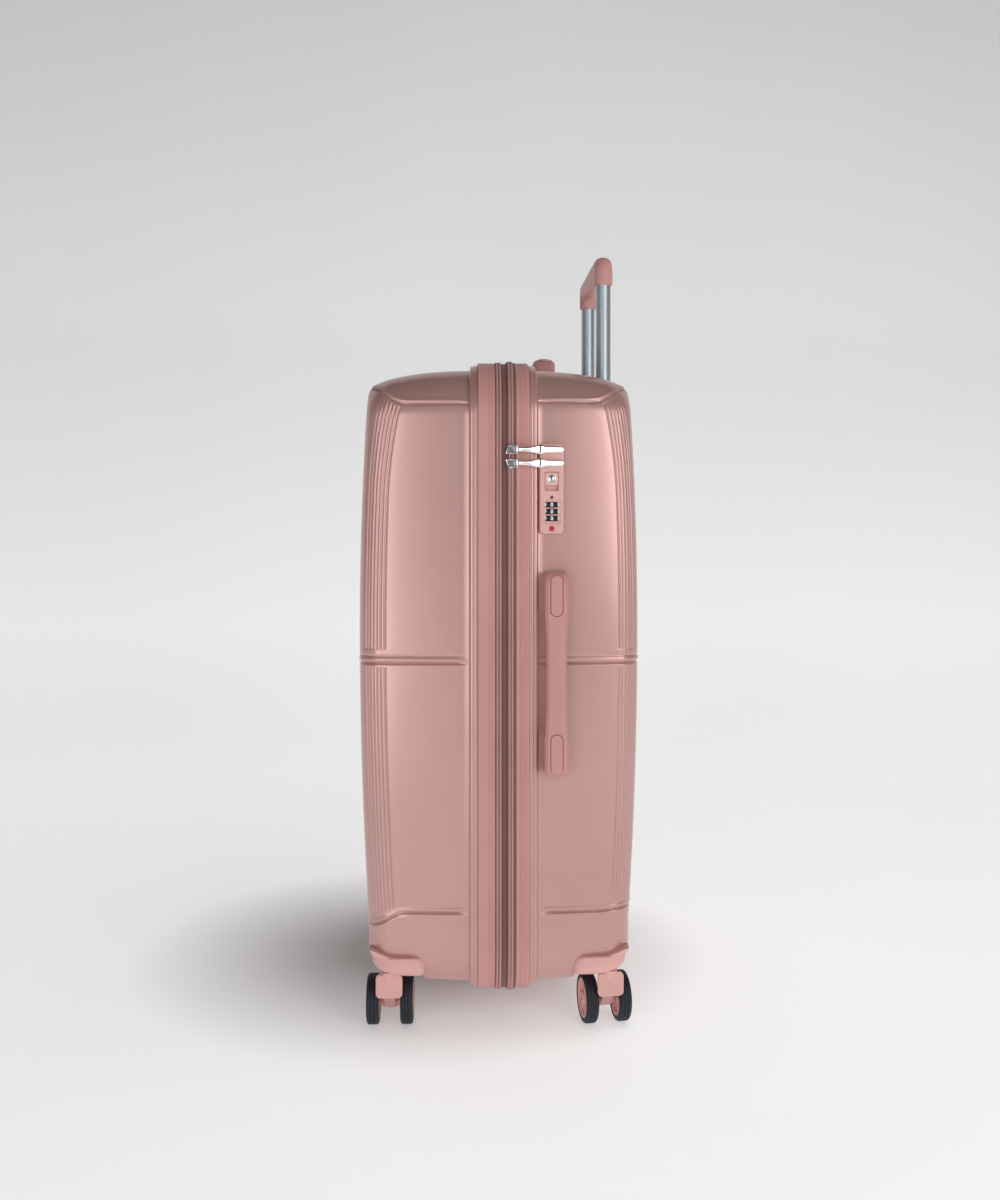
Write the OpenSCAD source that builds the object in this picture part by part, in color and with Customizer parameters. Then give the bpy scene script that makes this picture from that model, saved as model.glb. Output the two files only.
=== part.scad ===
// Hard shell suitcase: two shells joined by a fabric hinge and a zip, expandable,
// with a two-stage trolley handle, two carry handles, a dial lock and four twin-wheel casters.
// X runs from the hinge side to the lock side, Y from the front shell to the trolley side,
// Z up from the floor. Sizes are in millimetres.

/* [Shells] */
// Width of the shells from side to side
shell_w = 500; // [490:5:505]
// Height of the shells
shell_h = 698; // [694:2:702]
// Corner radius of the shells seen from the front
corner_r = 55; // [50:1:60]
// Radius of the edge between the sides and the faces
edge_r = 30; // [28:1:32]
// Distance from the middle plane to where that edge starts, at the corners
wall_end = 117; // [116:1:118]
// How much further each face stands out at mid height
face_bulge = 12; // [8:1:13]
// Wall thickness of the shells
wall = 2; // [1.8:0.1:2.6]

/* [Opening] */
// Distance from the middle plane to the closing line of the main zip
zip_y = 12.3; // [12:0.1:12.6]
// Width of the front band
front_band_w = 19; // [17:1:20]
// Width of the back band
back_band_w = 15; // [14:1:16]

/* [Wheels] */
// Diameter of the wheels
wheel_d = 56; // [54:1:57]
// Width of one wheel
wheel_w = 14.4; // [13:0.2:15]
// Distance between the middles of a caster's two wheels
wheel_gap = 38.5; // [38:0.5:40]
// Distance of the axle behind the swivel axis
trail = 14; // [12:1:15]

/* [Trolley] */
// Distance between the two trolley tubes
tube_gap = 200; // [190:5:210]
// Outer diameter of the innermost tubes
tube_d = 18; // [17.5:0.5:18]
// Height of the grip's top above the floor as stored, partly raised
grip_top = 898.5; // [890:0.5:900]

/* [Lock] */
// Diameter of the number dials
dial_d = 24; // [23:0.5:24.4]
// Distance from one dial to the next
dial_pitch = 7.6; // [7.6:0.1:8]

/* [Hidden] */

// The shells stand this far toward the hinge side, so that the origin is under the middle
// of the whole case, carry handle and side feet included
case_x = -6;
shell_z0 = 51;
shell_z1 = shell_z0 + shell_h;
mid_z = (shell_z0 + shell_z1) / 2;
side_x = case_x + shell_w / 2;
fit = 0.3;            // gap between parts that only pass each other
running = 0.05;       // radial clearance of a turning or sliding fit
touch = 0.02;         // gap between round parts that are fixed in each other

// How far each layer of the opening's frame stands out from the shell
lip_out = 6;
band_out = 8.5;
band_in = 3.5;
tape_out = 10.5;
gusset_out = 3.2;

// Where each layer of the frame starts and ends along Y
tape_w = 5.7;
lip_w = 9;
middle_band_y = [3, 8];
expansion_y = -1;     // parting line of the expansion zip
front_band_y = [-5 - front_band_w, -5];
back_band_y = [zip_y + tape_w, zip_y + tape_w + back_band_w];
gusset_y = [-16, 6];

// Colours
rose = [0.76, 0.60, 0.58];
rose_matt = [0.80, 0.58, 0.55];
rose_light = [0.84, 0.65, 0.61];
zip_brown = [0.58, 0.40, 0.38];
tape_dark = [0.38, 0.22, 0.26];
lining_grey = [0.45, 0.43, 0.46];
steel = [0.72, 0.75, 0.78];
black = [0.12, 0.13, 0.17];

// ---------------------------------------------------------------- outlines

function arc(centre, r, from, to, n) =
    [for (i = [0:n]) let(a = from + (to - from) * i / n) centre + r * [cos(a), sin(a)]];

// Points strictly between a and b
function between(a, b, n) = [for (i = [1:1:n]) a + (b - a) * i / (n + 1)];

// Rounded rectangle from corner a to corner b
function rounded(a, b, r, n = 6) = concat(
    arc([b[0] - r, b[1] - r], r, 0, 90, n),
    arc([a[0] + r, b[1] - r], r, 90, 180, n),
    arc([a[0] + r, a[1] + r], r, 180, 270, n),
    arc([b[0] - r, a[1] + r], r, 270, 360, n));

// Outline of the case in X and Z, grown outward by out
function case_outline(out, n = 10) = rounded(
    [case_x - shell_w / 2 - out, shell_z0 - out],
    [case_x + shell_w / 2 + out, shell_z1 + out], corner_r + out, n);

// Extrudes an X-Z outline from y0 to y1
module along_y(y0, y1) translate([0, y1, 0]) rotate([90, 0, 0]) linear_extrude(y1 - y0) children();

// Extrudes a Y-Z outline from x0 to x1
module along_x(x0, x1) translate([x0, 0, 0]) rotate([90, 0, 90]) linear_extrude(x1 - x0) children();

// A frame layer that runs right round the opening
module frame_ring(outer, inner, span) along_y(span[0], span[1]) difference() {
    polygon(case_outline(outer));
    polygon(case_outline(inner));
}

// A straight pin along Y
module pin_y(r, length) rotate([90, 0, 0]) cylinder(r = r, h = length, center = true, $fn = 48);

// ---------------------------------------------------------------- shells and linings

corner_steps = 5;
top_points = 3;
side_points = 7;
ring_size = 4 * (corner_steps + 1) + 2 * top_points + 2 * side_points;

// One ring of points in X and Z, inset from the shell's outline
function ring(inset) = let(
    hw = shell_w / 2 - inset,
    z0 = shell_z0 + inset,
    z1 = shell_z1 - inset,
    r = max(corner_r - inset, 8),
    a = arc([hw - r, z1 - r], r, 0, 90, corner_steps),
    b = arc([-hw + r, z1 - r], r, 90, 180, corner_steps),
    c = arc([-hw + r, z0 + r], r, 180, 270, corner_steps),
    d = arc([hw - r, z0 + r], r, 270, 360, corner_steps),
    last = corner_steps)
    concat(a, between(a[last], b[0], top_points), b, between(b[last], c[0], side_points),
        c, between(c[last], d[0], top_points), d, between(d[last], a[0], side_points));

// How far the face stands out at height z
function bulge(z) = face_bulge * (1 - pow((z - mid_z) / (shell_h / 2), 2));

// A profile is a list of [inset, distance along Y, share of the bulge]
function edge_profile(inset, r, start, share) =
    [for (i = [0:4]) let(f = i * 22.5) [inset + r * (1 - cos(f)), start + r * sin(f), share]];

// The top and bottom walls sink toward the face along an ellipse, further than the round
// edge alone takes them
sag_start = 30;
sag_depth = 25;

function edge_drop(d) = d < wall_end ? 0 : edge_r - sqrt(pow(edge_r, 2) - pow(d - wall_end, 2));
function ellipse_drop(d) = let(t = max(d - sag_start, 0) / (wall_end + edge_r - sag_start))
    sag_depth * (1 - sqrt(1 - t * t));
function sag(distance) = let(d = min(distance, wall_end + edge_r)) ellipse_drop(d) - edge_drop(d);

// Share of the sag at height z, from 0 on the side walls to 1 on the top and bottom walls
function sag_share(z) = let(t = min(max((abs(z - mid_z) - 290) / 59, 0), 1)) t * t * (3 - 2 * t);
function sunk(z, d) = z - sign(z - mid_z) * sag(d) * sag_share(z);

function ring_3d(step, side) = [for (p = ring(step[0]))
    [case_x + p[0], side * (step[1] + step[2] * bulge(p[1])), sunk(p[1], step[1])]];

// Faces between ring i and ring j of a loft
function strip(i, j) = [for (k = [0:ring_size - 1]) let(
    a = i * ring_size + k,
    b = i * ring_size + (k + 1) % ring_size,
    c = j * ring_size + (k + 1) % ring_size,
    d = j * ring_size + k) each [[a, b, c], [a, c, d]]];

function fan(i, tip) = [for (k = [0:ring_size - 1])
    [i * ring_size + k, i * ring_size + (k + 1) % ring_size, tip]];

function flipped(faces) = [for (f = faces) [f[2], f[1], f[0]]];

// Closed cup between an outer and an inner profile, both starting at the opening.
// side is 1 for the back half and -1 for the front half.
module cup(outer, inner, side, crown = 2) {
    steps = concat(outer, inner);
    m = len(outer);
    n = len(steps);
    tips = n * ring_size;
    outer_tip = outer[m - 1];
    inner_tip = inner[n - m - 1];
    points = concat([for (s = steps) each ring_3d(s, side)],
        [[case_x, side * (outer_tip[1] + crown + outer_tip[2] * face_bulge), mid_z],
         [case_x, side * (inner_tip[1] + crown + inner_tip[2] * face_bulge), mid_z]]);
    outside = concat([for (i = [0:m - 2]) each strip(i, i + 1)], fan(m - 1, tips), strip(m, 0));
    inside = concat([for (i = [m:n - 2]) each strip(i, i + 1)], fan(n - 1, tips + 1));
    faces = concat(outside, flipped(inside));
    polyhedron(points, side > 0 ? flipped(faces) : faces);
}

module shell_cup(lip_y, side) cup(
    concat([[-lip_out, lip_y, 0], [-lip_out, lip_y + lip_w, 0], [0, lip_y + lip_w + 1.5, 0],
            [0, 80, 0.5]],
        edge_profile(0, edge_r, wall_end, 1), [[edge_r + 60, wall_end + edge_r + 1.5, 1]]),
    concat([[wall, lip_y, 0], [wall, 80, 0.5]], edge_profile(wall, edge_r - wall, wall_end, 1),
        [[edge_r + 60, wall_end + edge_r - wall + 1.5, 1]]), side);

// Cut-outs in the bottom corners for the caster housings
module corner_cuts(side) for (x = [-1, 1]) housing_block(x, side, fit);

module back_shell() color(rose) difference() {
    shell_cup(back_band_y[1], 1);
    corner_cuts(1);
    lock_body(fit);
    bezel_block(fit);
    at_top_handle() handle_brackets(top_bracket_root, fit);
}

module front_shell() color(rose) difference() {
    shell_cup(-front_band_y[0], -1);
    corner_cuts(-1);
}

lining_inset = 5;
lining_t = 1.5;
back_lining_r = 20;
back_lining_end = 96;   // flat back, clear of the trolley tubes

module lining_cut(side) for (x = [-1, 1])
    translate([case_x + x * (shell_w / 2 - 45), side * (wall_end - 2), shell_z0 + 22])
        cube([104, 80, 84], center = true);

module back_lining() color(lining_grey) difference() {
    cup(concat([[lining_inset, back_band_y[1], 0]],
            edge_profile(lining_inset, back_lining_r, back_lining_end, 0)),
        concat([[lining_inset + lining_t, back_band_y[1], 0]],
            edge_profile(lining_inset + lining_t, back_lining_r - lining_t, back_lining_end, 0)),
        1, 0);
    lining_cut(1);
    lock_body(1);
}

module front_lining() color(lining_grey) difference() {
    cup(concat([[lining_inset, -front_band_y[0], 0]],
            edge_profile(lining_inset, edge_r - lining_inset, wall_end, 1)),
        concat([[lining_inset + lining_t, -front_band_y[0], 0]],
            edge_profile(lining_inset + lining_t, edge_r - lining_inset - lining_t, wall_end, 1)),
        -1, 0);
    lining_cut(-1);
}

// Crossed elastic packing straps that lie on the lining's floor, round a square buckle
strap_w = 25;
strap_t = 1.6;
buckle_size = [56, 8, 44];
back_strap_y = back_lining_end + back_lining_r - lining_t - 2;
front_strap_y = -(wall_end + edge_r - lining_inset - lining_t - 0.5);

module packing_straps(y) color(black) for (a = [-1, 1]) for (s = [-1, 1])
    translate([case_x, y, mid_z]) rotate([0, a * 53, 0])
        translate([s > 0 ? 38 : -298, -strap_t / 2, -strap_w / 2]) cube([260, strap_t, strap_w]);

module strap_buckle(y) color(black) along_y(y - buckle_size[1] / 2, y + buckle_size[1] / 2)
    difference() {
        polygon(rounded([case_x - buckle_size[0] / 2, mid_z - buckle_size[2] / 2],
            [case_x + buckle_size[0] / 2, mid_z + buckle_size[2] / 2], 9));
        polygon(rounded([case_x - 9, mid_z - 6], [case_x + 9, mid_z + 6], 4));
    }

// ---------------------------------------------------------------- frame of the opening

module back_band() color(rose_matt) frame_ring(band_out, band_in, back_band_y);
module front_band() color(rose_matt) frame_ring(band_out, band_in, front_band_y);
module middle_band() color(tape_dark) frame_ring(band_out + 0.5, band_in, middle_band_y);
module back_zip_tape() color(zip_brown)
    frame_ring(tape_out, band_in, [zip_y + 0.1, zip_y + tape_w]);
module front_zip_tape() color(zip_brown)
    frame_ring(tape_out, band_in, [middle_band_y[1], zip_y - 0.1]);
module expansion_zip_back() color(zip_brown)
    frame_ring(tape_out - 1, band_in, [expansion_y + 0.1, middle_band_y[0]]);
module expansion_zip_front() color(zip_brown)
    frame_ring(tape_out - 1, band_in, [front_band_y[1], expansion_y - 0.1]);
module expansion_gusset() color(zip_brown) frame_ring(gusset_out, gusset_out - 2, gusset_y);

// Fabric hinge between the two halves, on the side away from the lock
hinge_half_w = 8.3;
hinge_half_l = 280;

module hinge_strip() color(zip_brown)
    translate([case_x - shell_w / 2 - tape_out - 1.1, zip_y - hinge_half_w, mid_z - hinge_half_l])
        cube([1, 2 * hinge_half_w, 2 * hinge_half_l]);

// Feet on the hinge side, on which the case rests when it lies down
foot_r = 10;
foot_h = 14;
foot_y = 98;

module side_feet(side) color(rose_matt) for (z = [mid_z - 235, mid_z + 235])
    translate([case_x - shell_w / 2, side * foot_y, z]) rotate([0, -90, 0]) {
        cylinder(r = foot_r, h = foot_h - 3, $fn = 48);
        translate([0, 0, foot_h - 3]) cylinder(r1 = foot_r, r2 = foot_r - 2, h = 3, $fn = 48);
    }

// ---------------------------------------------------------------- casters

caster_x = shell_w / 2 - 40;
caster_y = 124;
housing_z = 69;
stem_r = 6;
sweep_r = 41;
housing_out = 1.5;
housing_top = 92;
housing_rise = 103;
housing_wall = 3;
axle_r = 3;
hub_r = 22;
fork_web_w = 16;
fork_plate_z = [39, 66];
neck_r = 10;

// Corner of the case seen from above
module housing_plan(g) translate([0, 0, housing_z - 25]) linear_extrude(70) polygon(rounded(
    [caster_x - sweep_r - g, caster_y - sweep_r - g],
    [shell_w / 2 + housing_out + 3 * g, wall_end + edge_r + housing_out + 3 * g], 28, 8));

// Side view, with a top edge that rises toward the face
module housing_side(g) along_x(0, shell_w) polygon(concat(
    [[caster_y - sweep_r - g, housing_z - (g > 0 ? 22 : 0)]],
    arc([caster_y - sweep_r + 8 - g, housing_top - 8 + g], 8, 180, 90, 5),
    [[wall_end + 6, housing_top + g], [wall_end + edge_r + 5, housing_rise + g],
     [wall_end + edge_r + 5, housing_z - (g > 0 ? 22 : 0)]]));

// Outer lower edges, rounded where they face the floor
face_round = 14;
side_round = 16;

module housing_round() intersection() {
    along_x(0, shell_w) polygon(concat([[0, housing_z], [0, 150], [200, 150]],
        arc([wall_end + edge_r + housing_out - face_round, housing_z + face_round],
            face_round, 0, -90, 6)));
    along_y(0, 250) polygon(concat([[0, housing_z], [0, 150], [400, 150]],
        arc([shell_w / 2 + housing_out - side_round, housing_z + side_round],
            side_round, 0, -90, 6)));
}

// The corner block in place: x and side are 1 or -1; g grows it into a cut-out
module housing_block(x, side, g) translate([case_x, 0, 0]) scale([x, side, 1]) intersection() {
    housing_plan(g);
    housing_side(g);
}

module caster_housing() difference() {
    intersection() {
        housing_plan(0);
        housing_side(0);
        housing_round();
    }
    // Hollow above the base plate, apart from the boss that holds the stem
    difference() {
        translate([caster_x - sweep_r + housing_wall, caster_y - sweep_r + housing_wall, housing_z + 4])
            cube([74, 58, 60]);
        translate([caster_x, caster_y, 0]) cylinder(r = 12, h = housing_z + 22, $fn = 64);
        translate([shell_w / 2 - 11, 0, 0]) cube([40, 200, 200]);
    }
    translate([caster_x, caster_y, housing_z - 20])
        cylinder(r = stem_r + running, h = 38, $fn = 64);
}

module housing_pair(side) color(rose_light) for (x = [-1, 1])
    translate([case_x, 0, 0]) mirror([x < 0 ? 1 : 0, 0, 0]) mirror([0, side < 0 ? 1 : 0, 0])
        caster_housing();

// The fork's own frame: swivel axis at the origin, wheels trailing toward -X
module fork() color(rose_light) difference() {
    union() {
        translate([0, 0, 40]) cylinder(r = stem_r, h = housing_z + 17 - 40, $fn = 64);
        translate([0, 0, 50]) cylinder(r = neck_r, h = housing_z - 0.6 - 50, $fn = 64);
        along_y(-fork_web_w / 2, fork_web_w / 2) polygon(concat(
            [[14, fork_plate_z[1]], [14, fork_plate_z[0] + 1]],
            arc([-trail, wheel_d / 2], 11, -60, -240, 10),
            [[-9, fork_plate_z[1]]]));
        translate([-trail, 0, wheel_d / 2]) pin_y(8.5, wheel_gap - wheel_w - 1);
        translate([14, 0, 0]) along_x(0, 3.5)
            polygon(rounded([-15, fork_plate_z[0]], [15, fork_plate_z[1]], 4, 4));
    }
    translate([-trail, 0, wheel_d / 2]) pin_y(axle_r + running, 60);
}

module axle() color(steel) translate([-trail, 0, wheel_d / 2])
    pin_y(axle_r, wheel_gap + wheel_w - 4);

module wheel_pair() for (s = [-1, 1])
    translate([-trail, s * wheel_gap / 2, wheel_d / 2]) rotate([90, 0, 0]) children();

// Turned outlines of the tyre and the hub, radius against width
tyre_edge_r = 3.5;

module tyres() color(black) wheel_pair() rotate_extrude($fn = 96) polygon(concat(
    [[hub_r + touch, -wheel_w / 2]],
    arc([wheel_d / 2 - tyre_edge_r, -wheel_w / 2 + tyre_edge_r], tyre_edge_r, -90, 0, 5),
    arc([wheel_d / 2 - tyre_edge_r, wheel_w / 2 - tyre_edge_r], tyre_edge_r, 0, 90, 5),
    [[hub_r + touch, wheel_w / 2]]));

module hubs() color(rose_light) wheel_pair() rotate_extrude($fn = 96) polygon([
    [axle_r + touch, -wheel_w / 2], [7, -wheel_w / 2], [9, -3], [18, -3],
    [19, -wheel_w / 2 + 0.6], [hub_r, -wheel_w / 2 + 0.6],
    [hub_r, wheel_w / 2 - 0.6], [19, wheel_w / 2 - 0.6],
    [18, 3], [9, 3], [7, wheel_w / 2], [axle_r + touch, wheel_w / 2]]);

// Puts a caster's part at its corner, swivelled by turn
module at_caster(x, side, turn)
    translate([case_x + x * caster_x, side * caster_y, 0]) rotate([0, 0, turn]) children();

// How far each caster happens to be swivelled
turn_front_right = 0;
turn_front_left = -6;
turn_rear_right = 9;
turn_rear_left = 4;

// ---------------------------------------------------------------- carry handles

handle_l = 226;
handle_w = 26;
handle_h = 26;
handle_bar = 10;
handle_end = 44;
handle_lift = 8;
bracket_size = [28, 13, 11];
side_handle_y = 62;
side_handle_z = 408.5;
top_handle_y = 58;
top_handle_h = 24;
top_bracket_root = 3.4;   // the top wall falls away a little below the blocks

// Handle lying along X on the plane z = 0
module carry_grip(h) difference() {
    along_y(-handle_w / 2, handle_w / 2) polygon(concat(
        [[-handle_l / 2, 0.4]],
        arc([-handle_l / 2 + 15, h - 15], 15, 180, 90, 6),
        arc([handle_l / 2 - 15, h - 15], 15, 90, 0, 6),
        [[handle_l / 2, 0.4], [handle_l / 2 - handle_end, 0.4]],
        arc([handle_l / 2 - handle_end - 8, h - handle_bar - 8], 8, 0, 90, 4),
        arc([-handle_l / 2 + handle_end + 8, h - handle_bar - 8], 8, 90, 180, 4),
        [[-handle_l / 2 + handle_end, 0.4]]));
    for (s = [-1, 1]) translate([s * (handle_l - handle_end) / 2, 0, bracket_size[2] / 2])
        cube(bracket_size + [2 * fit, 2 * fit, 2 * fit], center = true);
    // Rounded upper edges along the bar
    for (s = [-1, 1]) translate([0, s * handle_w / 2, h]) rotate([45, 0, 0])
        cube([handle_l + 1, 5, 5], center = true);
}

// Blocks that carry a grip; root goes below the wall's plane, g grows them into a cut-out
module handle_brackets(root = 0, g = 0) for (s = [-1, 1])
    translate([s * (handle_l - handle_end) / 2, 0, (bracket_size[2] - root) / 2])
        cube(bracket_size + [2 * g, 2 * g, root + 2 * g], center = true);

module at_side_handle()
    translate([side_x, side_handle_y, side_handle_z]) rotate([0, 90, 0]) children();
module at_top_handle() translate([case_x, top_handle_y, shell_z1]) children();

module side_handle_grip() color(rose_matt) at_side_handle() carry_grip(handle_h);
module top_handle_grip() color(rose_matt) at_top_handle() carry_grip(top_handle_h);
module side_handle_brackets() color(rose_matt) at_side_handle() handle_brackets();
module top_handle_brackets() color(rose_matt) at_top_handle() handle_brackets(top_bracket_root);

// ---------------------------------------------------------------- lock

lock_y = 57.5;
lock_z = [563, 663];
lock_w = 27;
lock_out = 8;
lock_depth = 13.5;
dial_h = 5.5;
dial_z = [595.2, 595.2 - dial_pitch, 595.2 - 2 * dial_pitch];
dial_x = side_x - 2;
dial_shaft_r = 3;
release_z = 624;
release_size = [4.6, 15, 14.4];
release_travel = 6;
key_r = 3.3;

// The lock's inner body, which passes through the shell's wall; g grows it into a cut-out
module lock_body(g) translate([side_x - lock_depth - g, lock_y - 13 - g, lock_z[0] + 4 - g])
    cube([lock_depth + 2 * g + 1, 26 + 2 * g, lock_z[1] - lock_z[0] - 8 + 2 * g]);

module lock_housing() color(rose_light) {
    difference() {
        union() {
            lock_body(0);
            translate([side_x + 0.1, 0, 0]) along_x(0, lock_out - 0.1) polygon(rounded(
                [lock_y - lock_w / 2, lock_z[0]], [lock_y + lock_w / 2, lock_z[1]], 4, 5));
        }
        for (z = dial_z) translate([dial_x, lock_y, z])
            cylinder(r = dial_d / 2 + fit, h = dial_h + 0.6, center = true, $fn = 96);
        // Pocket in which the release slides down
        translate([side_x + 3, lock_y - release_size[1] / 2 - 0.2,
            release_z - release_size[2] / 2 - release_travel - 0.4])
            cube([10, release_size[1] + 0.4, release_size[2] + release_travel + 0.8]);
        // Hole for the pin that resets the code
        translate([side_x, lock_y, 603.2]) rotate([0, 90, 0]) cylinder(r = 1.2, h = 20, $fn = 32);
    }
    translate([dial_x, lock_y, (dial_z[0] + dial_z[2]) / 2])
        cylinder(r = dial_shaft_r, h = 2 * dial_pitch + 8, center = true, $fn = 48);
}

module lock_dial(i) color(black) translate([dial_x, lock_y, dial_z[i]]) difference() {
    cylinder(r = dial_d / 2, h = dial_h, center = true, $fn = 96);
    cylinder(r = dial_shaft_r + running, h = dial_h + 1, center = true, $fn = 48);
}

module lock_release() color(rose_light) difference() {
    translate([side_x + 3.2, lock_y - release_size[1] / 2, release_z - release_size[2] / 2])
        cube(release_size);
    translate([side_x, lock_y, release_z]) rotate([0, 90, 0])
        cylinder(r = key_r + running, h = 20, $fn = 48);
}

module lock_key_cylinder() color(steel) translate([side_x + 3.4, lock_y, release_z])
    rotate([0, 90, 0]) difference() {
        cylinder(r = key_r, h = 4.6, $fn = 48);
        translate([0, 0, 4]) cube([0.9, 4, 3], center = true);
    }

// ---------------------------------------------------------------- zip sliders and pulls

slider_z = [656, 641];
slider_x = side_x + tape_out + 0.4;
pull_x = slider_x + 6;
pull_pin_r = 0.9;
pull_pin_y = 6.5;
pull_l = 52;
pull_t = 1.8;
pull_lean = 7.5;      // the pulls lean in toward the lock plate

// A slider on the plane x = 0 with its pull's pin beside it; y runs toward the pull
module slider_body() {
    along_x(0, 3.2) polygon(rounded([-5.5, -6.2], [5.5, 6.2], 2.5, 4));
    for (s = [-1, 1]) translate([0, 0, s * 4]) along_y(-4, 8)
        polygon([[3, -1.1], [7.6, -1.1], [7.6, 1.1], [3, 1.1]]);
    translate([6, pull_pin_y, 0]) cylinder(r = pull_pin_r, h = 8, center = true, $fn = 32);
}

// Pull with a bored eye round the pin, a slender neck, a leaf and a flat bar
module pull_body(length) {
    difference() {
        union() {
            cylinder(r = 2.1, h = 5, center = true, $fn = 32);
            translate([-pull_t / 2, 0, 0]) along_x(0, pull_t) polygon([
                [0, -2.2], [0, 2.2], [9, 1.8], [14, 3], [20, 4.6], [26, 3.6], [length * 0.62, 3],
                [length - 1, 3], [length, 2], [length, -2], [length - 1, -3],
                [length * 0.62, -3], [26, -3.6], [20, -4.6], [14, -3], [9, -1.8]]);
        }
        cylinder(r = pull_pin_r + running, h = 12, center = true, $fn = 32);
    }
}

module zip_slider(z) color(steel) translate([slider_x, zip_y, z]) slider_body();
module zip_pull(z) color(steel)
    translate([pull_x, zip_y + pull_pin_y, z]) rotate([0, 0, pull_lean]) pull_body(pull_l);

// Expansion slider on top of the case, its pull lying toward the hinge side
expansion_slider_x = case_x - 120;
expansion_slider_y = -2;
expansion_pull_l = 32;

module at_expansion_slider()
    translate([expansion_slider_x, expansion_slider_y, shell_z1 + tape_out + 0.4])
        rotate([0, -90, 90]) children();
module expansion_zip_slider() color(steel) at_expansion_slider() slider_body();
module expansion_zip_pull() color(steel)
    at_expansion_slider() translate([6, pull_pin_y, 0]) pull_body(expansion_pull_l);

// ---------------------------------------------------------------- trolley

tube_y = 131;
tube_step = 1;         // radius lost from one stage to the next
inner_r = tube_d / 2;
middle_r = inner_r + tube_step;
outer_r = middle_r + tube_step;
base_z = [86, 104];
outer_top = 722;
middle_top = 738;
inner_bottom = 222;
grip_h = 34;
grip_bar = 22;
grip_w = 22.5;
grip_overhang = 11.3;
button_size = [44, 11, 5];
button_travel = 3;

module tube_pair(outer_radius, bore, z0, z1) for (s = [-1, 1])
    translate([case_x + s * tube_gap / 2, tube_y, z0]) difference() {
        cylinder(r = outer_radius, h = z1 - z0, $fn = 64);
        translate([0, 0, -1]) cylinder(r = bore, h = z1 - z0 + 2, $fn = 64);
    }

module trolley_outer_tubes() color(steel)
    tube_pair(outer_r, middle_r + running, base_z[0] + 4, outer_top);
module trolley_middle_tubes() color(steel)
    tube_pair(middle_r, inner_r + running, base_z[0] + 8, middle_top);
module trolley_inner_tubes() color(steel)
    tube_pair(inner_r, inner_r - tube_step, inner_bottom, grip_top - 14);

module trolley_base() color(black) difference() {
    translate([case_x - tube_gap / 2 - 16, tube_y - 12.5, base_z[0]])
        cube([tube_gap + 32, 25, base_z[1] - base_z[0]]);
    for (s = [-1, 1]) translate([case_x + s * tube_gap / 2, tube_y, base_z[0] + 4])
        cylinder(r = outer_r + touch, h = 40, $fn = 64);
}

bezel_out = 1.2;
bezel_t = 5;
bezel_half_l = tube_gap / 2 + 22;
bezel_y = [108:5:143];

function top_wall_z(d) = shell_z1 - edge_drop(d) - sag(d);

// Curved strip that follows the shell's upper back edge; g grows it into a cut-out
module bezel_block(g) translate([case_x - bezel_half_l - g, 0, 0])
    along_x(0, 2 * (bezel_half_l + g)) polygon(concat(
        [[bezel_y[0] - g, top_wall_z(bezel_y[0]) + bezel_out + 5 * g]],
        [for (d = bezel_y) [d, top_wall_z(d) + bezel_out + 5 * g]],
        [[145 + g, top_wall_z(145) + bezel_out + 5 * g],
         [145 + g, top_wall_z(145) + bezel_out - bezel_t - 5 * g]],
        [for (d = [143:-5:108]) [d, top_wall_z(d) + bezel_out - bezel_t]],
        [[bezel_y[0] - g, top_wall_z(bezel_y[0]) + bezel_out - bezel_t]]));

module trolley_bezel() color(rose_light) difference() {
    bezel_block(0);
    for (s = [-1, 1]) translate([case_x + s * tube_gap / 2, tube_y, 600])
        cylinder(r = middle_r + fit, h = 200, $fn = 64);
}

module trolley_grip() color(rose_matt) difference() {
    along_y(tube_y - grip_w / 2, tube_y + grip_w / 2) polygon(concat(
        [[case_x - tube_gap / 2 - grip_overhang, grip_top - grip_h]],
        arc([case_x - tube_gap / 2 - grip_overhang + 13, grip_top - 13], 13, 180, 90, 6),
        arc([case_x + tube_gap / 2 + grip_overhang - 13, grip_top - 13], 13, 90, 0, 6),
        [[case_x + tube_gap / 2 + grip_overhang, grip_top - grip_h],
         [case_x + tube_gap / 2 - grip_overhang, grip_top - grip_h]],
        arc([case_x + tube_gap / 2 - grip_overhang - 6, grip_top - grip_bar - 6], 6, 0, 90, 4),
        arc([case_x - tube_gap / 2 + grip_overhang + 6, grip_top - grip_bar - 6], 6, 90, 180, 4),
        [[case_x - tube_gap / 2 + grip_overhang, grip_top - grip_h]]));
    for (s = [-1, 1]) translate([case_x + s * tube_gap / 2, tube_y, grip_top - grip_h - 1])
        cylinder(r = inner_r + touch, h = grip_h - 12.9, $fn = 64);
    translate([case_x - button_size[0] / 2 - 0.2, tube_y - button_size[1] / 2 - 0.2,
        grip_top - button_size[2] - button_travel])
        cube([button_size[0] + 0.4, button_size[1] + 0.4, 20]);
}

module trolley_button() color(black)
    translate([case_x - button_size[0] / 2, tube_y - button_size[1] / 2,
        grip_top - button_size[2] + 1]) cube(button_size);

// ---------------------------------------------------------------- nodes

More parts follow.
